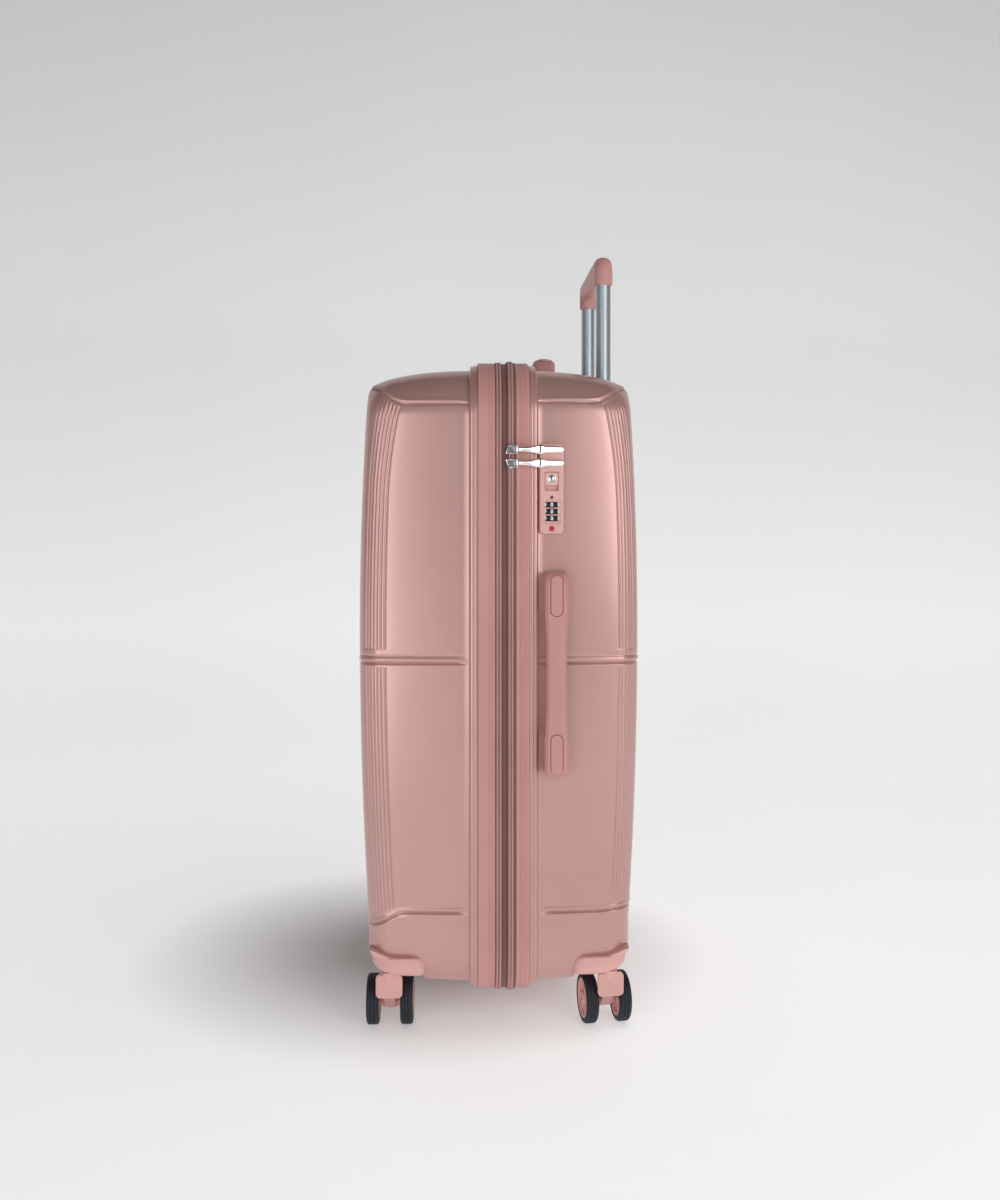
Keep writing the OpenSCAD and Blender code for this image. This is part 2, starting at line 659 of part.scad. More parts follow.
back_shell();
back_band();
back_zip_tape();
back_lining();
packing_straps(back_strap_y);  // back_packing_straps
strap_buckle(back_strap_y - 4);  // back_strap_buckle
side_feet(1);  // back_side_feet
housing_pair(1);  // rear_caster_housings
lock_housing();
side_handle_brackets();
top_handle_brackets();
trolley_bezel();
trolley_outer_tubes();
trolley_base();
middle_band();
front_zip_tape();
hinge_strip();
expansion_zip_back();
front_shell();
front_band();
expansion_zip_front();
expansion_gusset();
front_lining();
packing_straps(front_strap_y);  // front_packing_straps
strap_buckle(front_strap_y + 5);  // front_strap_buckle
side_feet(-1);  // front_side_feet
housing_pair(-1);  // front_caster_housings
zip_slider(slider_z[0]);  // zip_slider_upper
zip_slider(slider_z[1]);  // zip_slider_lower
zip_pull(slider_z[0]);  // zip_pull_upper
zip_pull(slider_z[1]);  // zip_pull_lower
expansion_zip_slider();
expansion_zip_pull();
lock_dial(0);  // lock_dial_1
lock_dial(1);  // lock_dial_2
lock_dial(2);  // lock_dial_3
lock_release();
lock_key_cylinder();
side_handle_grip();
top_handle_grip();
trolley_middle_tubes();
trolley_inner_tubes();
trolley_grip();
trolley_button();
at_caster(1, -1, turn_front_right) fork();  // caster_fork_front_right
at_caster(1, -1, turn_front_right) axle();  // caster_axle_front_right
at_caster(1, -1, turn_front_right) hubs();  // wheel_hubs_front_right
at_caster(1, -1, turn_front_right) tyres();  // wheel_tyres_front_right
at_caster(-1, -1, turn_front_left) fork();  // caster_fork_front_left
at_caster(-1, -1, turn_front_left) axle();  // caster_axle_front_left
at_caster(-1, -1, turn_front_left) hubs();  // wheel_hubs_front_left
at_caster(-1, -1, turn_front_left) tyres();  // wheel_tyres_front_left
at_caster(1, 1, turn_rear_right) fork();  // caster_fork_rear_right
at_caster(1, 1, turn_rear_right) axle();  // caster_axle_rear_right
at_caster(1, 1, turn_rear_right) hubs();  // wheel_hubs_rear_right
at_caster(1, 1, turn_rear_right) tyres();  // wheel_tyres_rear_right
at_caster(-1, 1, turn_rear_left) fork();  // caster_fork_rear_left
at_caster(-1, 1, turn_rear_left) axle();  // caster_axle_rear_left
at_caster(-1, 1, turn_rear_left) hubs();  // wheel_hubs_rear_left
at_caster(-1, 1, turn_rear_left) tyres();  // wheel_tyres_rear_left
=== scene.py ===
from math import asin, copysign, cos, exp, pi, radians, sin, sqrt

import bmesh
import bpy
import numpy as np
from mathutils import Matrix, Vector, noise


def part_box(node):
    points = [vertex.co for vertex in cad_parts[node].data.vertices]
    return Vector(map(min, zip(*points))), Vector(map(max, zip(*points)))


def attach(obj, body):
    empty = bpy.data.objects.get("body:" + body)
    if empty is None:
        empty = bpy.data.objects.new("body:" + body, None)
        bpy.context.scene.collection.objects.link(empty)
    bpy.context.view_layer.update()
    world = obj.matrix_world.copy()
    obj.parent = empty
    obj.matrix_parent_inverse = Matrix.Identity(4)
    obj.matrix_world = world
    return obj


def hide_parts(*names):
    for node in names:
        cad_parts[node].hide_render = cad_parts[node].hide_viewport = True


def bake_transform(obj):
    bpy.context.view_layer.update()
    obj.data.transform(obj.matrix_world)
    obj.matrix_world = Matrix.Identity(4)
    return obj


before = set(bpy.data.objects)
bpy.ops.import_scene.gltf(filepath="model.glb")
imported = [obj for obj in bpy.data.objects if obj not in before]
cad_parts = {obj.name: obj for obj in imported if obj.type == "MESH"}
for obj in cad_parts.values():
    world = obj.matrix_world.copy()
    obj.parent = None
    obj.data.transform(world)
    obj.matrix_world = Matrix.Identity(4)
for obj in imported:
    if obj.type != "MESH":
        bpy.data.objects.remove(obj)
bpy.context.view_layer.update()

# The suitcase's looks. Shapes are worked out in millimetres from the frame's boxes and
# turned into metres where each mesh is made.
MM = 0.001


def box_mm(node):
    """Lowest and highest corner of a CAD node, in millimetres."""
    lo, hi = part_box(node)
    return np.array(lo) / MM, np.array(hi) / MM


# ---------------------------------------------------------------- sizes from the frame

LIP_OUT = 6.0            # how far the shells' rims stand out from their walls
CORNER_R = 55.0          # corner radius of the shells seen from the front
EDGE_R = 30.0            # radius of the edge between walls and face
WALL = 2.0
shell_lo, shell_hi = box_mm("back_shell")
CASE_X = (shell_lo[0] + shell_hi[0]) / 2
HALF_W = (shell_hi[0] - shell_lo[0]) / 2 - LIP_OUT
Z0, Z1 = shell_lo[2] + LIP_OUT, shell_hi[2] - LIP_OUT
MID_Z = (Z0 + Z1) / 2
BULGE, FULLEST_Z = 10.3, 455.0   # how much further the faces stand out, and at what height
WALL_END = 117.0         # where the edge between walls and face starts
SIDE_X = CASE_X + HALF_W
FRONT_LIP = -box_mm("front_band")[0][1]
BACK_LIP = box_mm("back_band")[1][1]


def smooth(t):
    """0 below 0, 1 above 1, an S curve between."""
    t = np.clip(t, 0.0, 1.0)
    return t * t * (3 - 2 * t)


def rolled(r, d):
    """How far an edge of radius r has drawn in at a distance d from its end."""
    return r - sqrt(max(r * r - (r - min(d, r)) ** 2, 0))


# ---------------------------------------------------------------- material helpers

def new_material(name):
    m = bpy.data.materials.new(name)
    m.use_nodes = True
    return m, m.node_tree, m.node_tree.nodes["Principled BSDF"]


def set_inputs(n, values):
    for k, v in values.items():
        n.inputs[k].default_value = v


def node(tree, kind, inputs=None, **settings):
    n = tree.nodes.new(kind)
    for k, v in settings.items():
        setattr(n, k, v)
    set_inputs(n, inputs or {})
    return n


def place(tree, scale=(1, 1, 1)):
    """Rest position in metres, scaled."""
    coord = node(tree, "ShaderNodeTexCoord")
    mapping = node(tree, "ShaderNodeMapping", {"Scale": scale})
    tree.links.new(coord.outputs["Object"], mapping.inputs["Vector"])
    return mapping.outputs["Vector"]


def noise_tex(tree, vector, scale, detail, rough=0.5):
    n = node(tree, "ShaderNodeTexNoise", {"Scale": scale, "Detail": detail, "Roughness": rough})
    tree.links.new(vector, n.inputs["Vector"])
    return n.outputs["Fac"]


def ramp(tree, fac, stops):
    r = node(tree, "ShaderNodeValToRGB")
    els = r.color_ramp.elements
    while len(els) < len(stops):
        els.new(0.5)
    for e, (pos, colour) in zip(els, stops):
        e.position = pos
        e.color = (*colour, 1.0)
    tree.links.new(fac, r.inputs["Fac"])
    return r.outputs["Color"]


def to_range(tree, fac, low, high):
    r = node(tree, "ShaderNodeMapRange", {"To Min": low, "To Max": high})
    tree.links.new(fac, r.inputs["Value"])
    return r.outputs["Result"]


def bump(tree, bsdf, height, strength, distance):
    b = node(tree, "ShaderNodeBump", {"Strength": strength, "Distance": distance})
    tree.links.new(height, b.inputs["Height"])
    tree.links.new(b.outputs["Normal"], bsdf.inputs["Normal"])


def maths(tree, op, a, b=None, value=None):
    n = node(tree, "ShaderNodeMath", operation=op)
    tree.links.new(a, n.inputs[0])
    if b is not None:
        tree.links.new(b, n.inputs[1])
    if value is not None:
        n.inputs[1].default_value = value
    return n.outputs[0]


def edge_wear(tree):
    """0 to 1 where an edge stands out, for rubbed edges."""
    geo = node(tree, "ShaderNodeNewGeometry")
    r = node(tree, "ShaderNodeMapRange", {"From Min": 0.49, "From Max": 0.56})
    tree.links.new(geo.outputs["Pointiness"], r.inputs["Value"])
    return r.outputs["Result"]


def shade(colour, k):
    return tuple(min(1.0, c * k) for c in colour)


def moulded(name, colour, roughness, grain=2600.0, grain_height=0.00006, vary=0.05,
            specular=0.5, worn=0.06):
    """Moulded plastic: cloudy colour, fine spark-eroded grain and slightly rubbed edges."""
    m, tree, bsdf = new_material(name)
    vec = place(tree)
    cloud = noise_tex(tree, vec, 14.0, 4.0)
    base = ramp(tree, cloud, [(0.3, shade(colour, 1 - vary)), (0.7, shade(colour, 1 + vary))])
    mix = node(tree, "ShaderNodeMixRGB", {"Color2": (*shade(colour, 1.25), 1.0)})
    tree.links.new(maths(tree, "MULTIPLY", edge_wear(tree), value=worn * 5), mix.inputs["Fac"])
    tree.links.new(base, mix.inputs["Color1"])
    tree.links.new(mix.outputs["Color"], bsdf.inputs["Base Color"])
    grain_fac = noise_tex(tree, vec, grain, 2.0)
    smudge = noise_tex(tree, vec, 60.0, 5.0, 0.6)
    both = maths(tree, "ADD", grain_fac, smudge)
    tree.links.new(to_range(tree, maths(tree, "MULTIPLY", both, value=0.5),
                            roughness * 0.86, roughness * 1.14), bsdf.inputs["Roughness"])
    bump(tree, bsdf, grain_fac, 0.35, grain_height)
    set_inputs(bsdf, {"Specular IOR Level": specular})
    return m


def polished(name, colour, roughness, stretch, lines, depth=0.00002):
    """Metal with fine lines along its working direction."""
    m, tree, bsdf = new_material(name)
    vec = place(tree, stretch)
    fine = noise_tex(tree, vec, lines, 3.0, 0.6)
    blot = noise_tex(tree, place(tree), 35.0, 3.0)
    tree.links.new(ramp(tree, blot, [(0.3, shade(colour, 0.94)), (0.7, colour)]),
                   bsdf.inputs["Base Color"])
    tree.links.new(to_range(tree, fine, roughness * 0.7, roughness * 1.4),
                   bsdf.inputs["Roughness"])
    set_inputs(bsdf, {"Metallic": 1.0})
    bump(tree, bsdf, fine, 0.25, depth)
    return m


def woven(name, colour, pitch, axes, sheen=0.3, height=0.00025, contrast=0.35):
    """Plain weave: two crossed sets of threads along the given axes, pitch in metres."""
    m, tree, bsdf = new_material(name)
    vec = place(tree)
    waves = []
    for axis in axes:
        w = node(tree, "ShaderNodeTexWave", {"Scale": 0.314 / pitch, "Distortion": 0.6,
                                             "Detail": 1.0, "Detail Scale": 3.0},
                 wave_type="BANDS", bands_direction=axis)
        tree.links.new(vec, w.inputs["Vector"])
        waves.append(w.outputs["Fac"])
    weave = maths(tree, "MULTIPLY", waves[0], waves[1])
    cloud = noise_tex(tree, vec, 24.0, 4.0)
    thread = maths(tree, "ADD", weave, maths(tree, "MULTIPLY", cloud, value=0.5))
    tree.links.new(ramp(tree, maths(tree, "MULTIPLY", thread, value=0.66),
                        [(0.1, shade(colour, 1 - contrast)), (0.75, shade(colour, 1.15))]),
                   bsdf.inputs["Base Color"])
    tree.links.new(to_range(tree, weave, 0.72, 0.88), bsdf.inputs["Roughness"])
    set_inputs(bsdf, {"Sheen Weight": sheen, "Sheen Roughness": 0.4,
                      "Specular IOR Level": 0.25})
    bump(tree, bsdf, weave, 0.6, height)
    return m


def shell_material():
    """Glossy shell: warm metallic lacquer with fine flakes under a clear coat."""
    m, tree, bsdf = new_material("shell_rose_gold")
    vec = place(tree)
    flake = node(tree, "ShaderNodeTexVoronoi", {"Scale": 2600.0})
    tree.links.new(vec, flake.inputs["Vector"])
    sparkle = to_range(tree, flake.outputs["Distance"], 0.0, 1.0)
    cloud = noise_tex(tree, vec, 5.0, 4.0)
    mixed = maths(tree, "ADD", maths(tree, "MULTIPLY", sparkle, value=0.35), cloud)
    rose = (0.60, 0.345, 0.315)
    tree.links.new(ramp(tree, mixed, [(0.35, shade(rose, 0.93)), (0.85, shade(rose, 1.06))]),
                   bsdf.inputs["Base Color"])
    smudge = noise_tex(tree, vec, 22.0, 6.0, 0.65)
    tree.links.new(to_range(tree, smudge, 0.27, 0.33), bsdf.inputs["Roughness"])
    orange_peel = noise_tex(tree, vec, 420.0, 2.0)
    bump(tree, bsdf, orange_peel, 0.12, 0.0001)
    set_inputs(bsdf, {"Metallic": 0.42, "Coat Weight": 0.35, "Coat Roughness": 0.12})
    return m


PINK_BAND = (0.60, 0.30, 0.27)
PINK_LIGHT = (0.76, 0.43, 0.39)
PINK_GRIP = (0.58, 0.285, 0.262)
ZIP_BROWN = (0.30, 0.145, 0.125)

MAT = {
    "shell": shell_material(),
    "band": moulded("band_pink", PINK_BAND, 0.46, grain=1800.0),
    "housing": moulded("housing_pink", PINK_LIGHT, 0.5, grain=1500.0, grain_height=0.0001),
    "grip": moulded("grip_pink", PINK_GRIP, 0.42, grain=1300.0, grain_height=0.0001),
    "tube": polished("tube_aluminium", (0.52, 0.58, 0.62), 0.42, (1, 1, 0.02), 1500.0),
    "chrome": polished("pull_chrome", (0.86, 0.87, 0.88), 0.09, (1, 0.05, 1), 1200.0, 0.00001),
    "dark_chrome": polished("slider_chrome", (0.66, 0.66, 0.68), 0.13, (1, 1, 1), 900.0),
    "axle": polished("axle_steel", (0.55, 0.54, 0.53), 0.3, (1, 0.05, 1), 900.0),
    "tyre": moulded("tyre_navy", (0.010, 0.014, 0.024), 0.6, grain=900.0,
                    grain_height=0.00012, vary=0.2, worn=0.1),
    "dial": moulded("dial_navy", (0.012, 0.016, 0.035), 0.42, vary=0.1, specular=0.3),
    "digit": moulded("digit_white", (0.95, 0.95, 0.95), 0.4),
    "red": moulded("mark_red", (0.55, 0.015, 0.03), 0.3),
    "black": moulded("black_plastic", (0.018, 0.018, 0.02), 0.42, grain=1500.0),
    "foot": moulded("foot_pink", PINK_BAND, 0.55, grain=1200.0, grain_height=0.00015),
    "zip": woven("zip_tape", ZIP_BROWN, 0.0011, "YZ"),
    "coil": moulded("zip_coil", (0.47, 0.26, 0.23), 0.36, grain=2000.0, vary=0.12),
    "dark_tape": woven("dark_tape", (0.27, 0.125, 0.13), 0.0011, "YZ"),
    "gusset": woven("gusset_cloth", ZIP_BROWN, 0.0010, "XZ", sheen=0.2),
    "lining": woven("lining_cloth", (0.20, 0.17, 0.19), 0.0012, "XZ", sheen=0.5,
                    contrast=0.25),
    "strap": woven("strap_webbing", (0.012, 0.012, 0.015), 0.0016, "XZ",
                   height=0.0005),
}


# ---------------------------------------------------------------- mesh helpers

def linked_object(name, data):
    obj = bpy.data.objects.new(name, data)
    bpy.context.scene.collection.objects.link(obj)
    return obj


def mesh_of(name, part):
    """A mesh from a part, a pair of points in millimetres and faces."""
    mesh = bpy.data.meshes.new(name)
    points = np.asarray(part[0], float) * MM
    mesh.from_pydata(points.tolist(), [], [tuple(int(i) for i in f) for f in part[1]])
    return mesh


def add_piece(name, part, material, body, replaces=(), smooth_angle=38):
    """Makes a visible piece, which rides on a CAD body and stands for CAD nodes."""
    mesh = mesh_of(name, part)
    mesh.validate()
    mesh.materials.append(MAT[material])
    obj = linked_object(name, mesh)
    tidy_normals(obj, smooth_angle)
    if replaces:
        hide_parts(*replaces)
    if body:
        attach(obj, body)
    return obj


def tidy_normals(obj, smooth_angle):
    """Faces point outward, and shading is smooth up to smooth_angle degrees."""
    bm = bmesh.new()
    bm.from_mesh(obj.data)
    bmesh.ops.recalc_face_normals(bm, faces=bm.faces)
    limit = radians(smooth_angle)
    for e in bm.edges:
        e.smooth = len(e.link_faces) == 2 and e.calc_face_angle(0.0) < limit
    for f in bm.faces:
        f.smooth = True
    bm.to_mesh(obj.data)
    bm.free()


def grid_faces(rows, cols, close_cols=False, close_rows=False, start=0):
    """Quads over a grid of points stored row by row."""
    out = []
    for i in range(rows if close_rows else rows - 1):
        for j in range(cols if close_cols else cols - 1):
            a = start + i * cols + j
            b = start + i * cols + (j + 1) % cols
            k = (i + 1) % rows
            out.append((a, b, start + k * cols + (j + 1) % cols, start + k * cols + j))
    return out


def flat_list(rows):
    return [p for row in rows for p in row]


def loft(sections):
    """Joins closed sections of equal size into a skin, with the ends closed by faces."""
    rows, cols = len(sections), len(sections[0])
    faces = grid_faces(rows, cols, close_cols=True)
    faces.append(tuple(range(cols)))
    faces.append(tuple((rows - 1) * cols + j for j in reversed(range(cols))))
    return flat_list(sections), faces


def merged(parts):
    """Joins (verts, faces) pairs into one pair."""
    verts, faces = [], []
    for v, f in parts:
        n = len(verts)
        verts.extend(v)
        faces.extend(tuple(i + n for i in face) for face in f)
    return verts, faces


def rounded_outline(a0, b0, a1, b1, r, n):
    """Rounded rectangle as (a, b) points, anticlockwise."""
    pts = []
    for ca, cb, start in ((a1 - r, b1 - r, 0), (a0 + r, b1 - r, 90),
                          (a0 + r, b0 + r, 180), (a1 - r, b0 + r, 270)):
        for i in range(n + 1):
            t = radians(start + 90 * i / n)
            pts.append((ca + r * cos(t), cb + r * sin(t)))
    return pts


FLAT, FACING_X, FACING_Y = (0, 1, 2), (1, 2, 0), (0, 2, 1)     # where a slab's a, b, height go
ALONG_X, ALONG_Y, ALONG_Z = (1, 0, 0), (0, 1, 0), (0, 0, 1)


def slab(outline, low, high, edge, steps, axes=FACING_X):
    """Plate with rolled edges: an (a, b) outline raised from low to high.
    axes gives the place of a, b and the height in x, y, z."""
    pts = np.array(outline, float)
    ahead = np.roll(pts, -1, 0) - np.roll(pts, 1, 0)
    normal = np.stack([ahead[:, 1], -ahead[:, 0]], 1)
    normal /= np.linalg.norm(normal, axis=1)[:, None]
    levels = []
    for i in range(steps + 1):
        t = radians(90 * i / steps)
        levels.append((edge * (1 - sin(t)), low + edge * (1 - cos(t))))
    levels += [(inset, high + low - h) for inset, h in reversed(levels)]
    sections = []
    for inset, h in levels:
        ring = pts - normal * inset
        rows = np.zeros((len(pts), 3))
        rows[:, axes[0]] = ring[:, 0]
        rows[:, axes[1]] = ring[:, 1]
        rows[:, axes[2]] = h
        sections.append(rows.tolist())
    return loft(sections)


def turned(profile, centre, axis, segments):
    """Surface of revolution of (radius, height) points about an axis through centre."""
    axis = Vector(axis).normalized()
    side = axis.orthogonal().normalized()
    other = axis.cross(side)
    rows = []
    for k in range(segments):
        t = 2 * pi * k / segments
        out = side * cos(t) + other * sin(t)
        rows.append([tuple(Vector(centre) + out * r + axis * h) for r, h in profile])
    return flat_list(rows), grid_faces(segments, len(profile), True, True)


def tube_along(path, radius, sides):
    """Round wire along a list of points."""
    pts = [Vector(p) for p in path]
    sections = []
    last = None
    for i, p in enumerate(pts):
        ahead = pts[min(i + 1, len(pts) - 1)] - pts[max(i - 1, 0)]
        ahead.normalize()
        side = (last - ahead * last.dot(ahead)) if last else ahead.orthogonal()
        side.normalize()
        last = side
        other = ahead.cross(side)
        sections.append([tuple(p + side * cos(2 * pi * k / sides) * radius
                               + other * sin(2 * pi * k / sides) * radius)
                         for k in range(sides)])
    return loft(sections)


# ---------------------------------------------------------------- outline of the case

def outline_columns(straight, arc_n, dense=(), top_step=None):
    """Points round the case seen from the front, as rows of x, z and outward normal x, z.
    straight is the widest spacing on straight runs; dense lists (z0, z1, spacing) on the sides.
    Each corner has 2 * arc_n steps, and the list starts at mid-arc of the lower right corner."""
    def side_heights():
        z, stops = Z0 + CORNER_R, []
        while z < Z1 - CORNER_R - 1e-6:
            stops.append(z)
            step = straight
            for a, b, s in dense:
                if a - 0.1 <= z <= b:
                    step = s
                elif a > z:
                    step = min(step, max(a - z, s))
            z += step
        return stops[1:] if len(stops) > 1 else []

    def corner(cx, cz, start):
        out = []
        for k in range(2 * arc_n + 1):
            t = radians(start + 90 * k / (2 * arc_n))
            out.append((cx + CORNER_R * cos(t), cz + CORNER_R * sin(t),
                        cos(t), sin(t)))
        return out

    hx = HALF_W - CORNER_R
    top_x = list(np.linspace(hx, -hx, int(2 * hx / (top_step or straight)) + 2)[1:-1])
    low, high = Z0 + CORNER_R, Z1 - CORNER_R
    heights = side_heights()
    right = [(HALF_W, z, 1.0, 0.0) for z in heights]
    left = [(-HALF_W, z, -1.0, 0.0) for z in reversed(heights)]
    pts = (corner(hx, low, 270)[arc_n:] + right + corner(hx, high, 0)
           + [(x, Z1, 0.0, 1.0) for x in top_x] + corner(-hx, high, 90) + left
           + corner(-hx, low, 180) + [(x, Z0, 0.0, -1.0) for x in reversed(top_x)]
           + corner(hx, low, 270)[:arc_n])
    return np.array(pts), 2 * arc_n + 2 + len(heights), 2 * arc_n + 2 + len(top_x)


def bulge(z):
    """How much further the face stands out at a height; fullest a little above the middle."""
    d = np.asarray(z, float) - FULLEST_Z
    return BULGE * np.clip(1 - (d / np.where(d > 0, 285.0, 325.0)) ** 2, 0, 1)


# Level lines across the shells, the bead above each, and the ribs between them
TOP_LINE = {1: 710.0, -1: 707.8}
TOP_LINE_FACE = 727.0
MID_LINE, MID_UPPER = 419.1, 427.1
LOW_LINE, LOW_LINE_FACE = 142.0, {1: 145.0, -1: 127.0}
RIBS, RIB_PITCH = 6, 4.6
DRAFT, DRAFT_ANGLE = 3.6, radians(5.8)
FACE_Y = WALL_END + EDGE_R
TURN_R = (EDGE_R - DRAFT) / cos(DRAFT_ANGLE)
TURN_Y = FACE_Y - TURN_R * (1 - sin(DRAFT_ANGLE))
TURN_LEN = TURN_R * (pi / 2 - DRAFT_ANGLE)
SAG_START, SAG_DEPTH = 30.0, 25.0


def smooth_step(x, middle, width):
    """0 well below middle, 1 well above it."""
    return smooth((x - middle) / width + 0.5)


def rib_start(z, side):
    """Distance of the first rib from where the side turns over, along the surface."""
    splay = np.clip((z - MID_Z - 200) / 109, 0, 1.2) ** 2
    return (0.8 if side > 0 else -6.0) - 8.8 * splay


def relief(x, z, depth, a, side):
    """How far the shell's surface stands in or out. depth is the distance from the case's
    middle plane and a the distance past the line where the side turns over."""
    turn = smooth((depth - 102) / 43)
    top = TOP_LINE[side] + (TOP_LINE_FACE - TOP_LINE[side]) * turn
    low = LOW_LINE + (LOW_LINE_FACE[side] - LOW_LINE) * turn
    mid = np.full_like(z, MID_LINE)
    h = np.zeros_like(z)
    for line in (top, mid, low):
        u = z - line
        h += -2.1 * np.exp(-(u / 1.15) ** 2) + 0.75 * np.exp(-((u - 3.7) / 1.9) ** 2)
    h -= 0.8 * np.exp(-((z - MID_UPPER) / 0.8) ** 2)

    def window(above, below, fade):
        up = smooth_step(z, MID_UPPER + above, fade) * (1 - smooth_step(z, top - below, fade))
        down = smooth_step(z, low + above + 3, fade) * (1 - smooth_step(z, MID_LINE - below, fade))
        return np.maximum(up, down)

    s = a - rib_start(z, side)
    panel = smooth((s + 3.4) / 1.8) * (1 - smooth((s - (RIBS - 1) * RIB_PITCH - 2.4) / 2))
    nearest = np.clip(np.round(s / RIB_PITCH), 0, RIBS - 1) * RIB_PITCH
    cut = -0.6 * np.clip(1 - np.abs(s - nearest) / 0.7, 0, 1)
    crest = 0.10 * (1 - np.clip(np.abs(np.abs(s - nearest) - RIB_PITCH / 2) / 1.5, 0, 1))
    h += (-0.25 * panel + (cut + crest) * (panel > 0.5)) * window(7.2, 4.8, 1.6)
    # Waisted flutes on the face
    on_face = smooth((a - TURN_LEN + 6) / 12)
    waist = ((z - MID_Z) / 310) ** 2
    for base, spread in ((58.0, 44.0), (88.0, 56.0), (118.0, 68.0)):
        u = (np.abs(x - CASE_X) - (base + spread * waist)) / 11.0
        flute = np.where(np.abs(u) < 1, -(0.5 + 0.5 * np.cos(np.pi * u)) * 1.5, 0.0)
        h += flute * on_face * window(16.0, 14.0, 14.0)
    return h


def grid_normals(p):
    """Unit normals of a grid of points, closed along its second axis."""
    along = np.roll(p, -1, 1) - np.roll(p, 1, 1)
    across = np.gradient(p, axis=0)
    n = np.cross(along, across)
    return n / np.maximum(np.linalg.norm(n, axis=2)[..., None], 1e-9)


def face_patch(edge, n_side, n_top):
    """Points of a patch that fills a closed ring, whose four sides meet at mid-arc."""
    right = edge[:n_side]
    top = edge[n_side - 1:n_side - 1 + n_top][::-1]
    left = edge[n_side + n_top - 2:2 * n_side + n_top - 2][::-1]
    bottom = np.concatenate([edge[2 * n_side + n_top - 3:], edge[:1]])
    s = ((bottom[:, 0] - bottom[0, 0]) / (bottom[-1, 0] - bottom[0, 0]))[:, None, None]
    t = ((right[:, 2] - right[0, 2]) / (right[-1, 2] - right[0, 2]))[None, :, None]
    lo_edge, hi_edge, lf, rt = bottom[:, None], top[:, None], left[None], right[None]
    return ((1 - t) * lo_edge + t * hi_edge + (1 - s) * lf + s * rt
            - (1 - s) * (1 - t) * lf[:, :1] - (1 - s) * t * lf[:, -1:]
            - s * (1 - t) * rt[:, :1] - s * t * rt[:, -1:])


def join_patch(verts, faces, patch, last):
    """Adds a patch's points and quads and stitches its border to the ring that starts at last."""
    n_top, n_side = patch.shape[:2]
    base = len(verts)
    verts += patch.reshape(-1, 3).tolist()

    def cell(i, j):
        return base + i * n_side + j

    for i in range(n_top - 1):
        for j in range(n_side - 1):
            faces.append((cell(i, j), cell(i + 1, j), cell(i + 1, j + 1), cell(i, j + 1)))
    border = ([cell(n_top - 1, j) for j in range(n_side)]
              + [cell(i, n_side - 1) for i in range(n_top - 2, -1, -1)]
              + [cell(0, j) for j in range(n_side - 2, -1, -1)]
              + [cell(i, 0) for i in range(1, n_top - 1)])
    n = len(border)
    for k in range(n):
        k2 = (k + 1) % n
        faces.append((last + k, last + k2, border[k2], border[k]))


def sag(y):
    """How far the top and bottom walls have closed in at a distance from the middle plane."""
    t = np.clip((np.asarray(y, float) - SAG_START) / (FACE_Y - SAG_START), 0, 1)
    return SAG_DEPTH * (1 - np.sqrt(1 - t * t))


def skin_profiles(y0):
    """Tables of (inset, y) against the distance along the surface: side wall and top wall."""
    y = np.linspace(y0, TURN_Y, 40)
    draft = DRAFT * ((y - y0) / (TURN_Y - y0)) ** 2
    t = np.linspace(DRAFT_ANGLE, pi / 2, 160)[1:]
    side_in = np.concatenate([draft, EDGE_R - TURN_R * np.cos(t)])
    side_y = np.concatenate([y, FACE_Y - TURN_R + TURN_R * np.sin(t)])
    u = np.linspace(asin((y0 - SAG_START) / (FACE_Y - SAG_START)), pi / 2, 300)
    top_y = SAG_START + (FACE_Y - SAG_START) * np.sin(u)
    tables = []
    for inset, y in ((side_in, side_y), (sag(top_y), top_y)):
        run = np.concatenate([[0], np.cumsum(np.hypot(np.diff(inset), np.diff(y)))])
        tables.append((run, inset, y))
    return tables


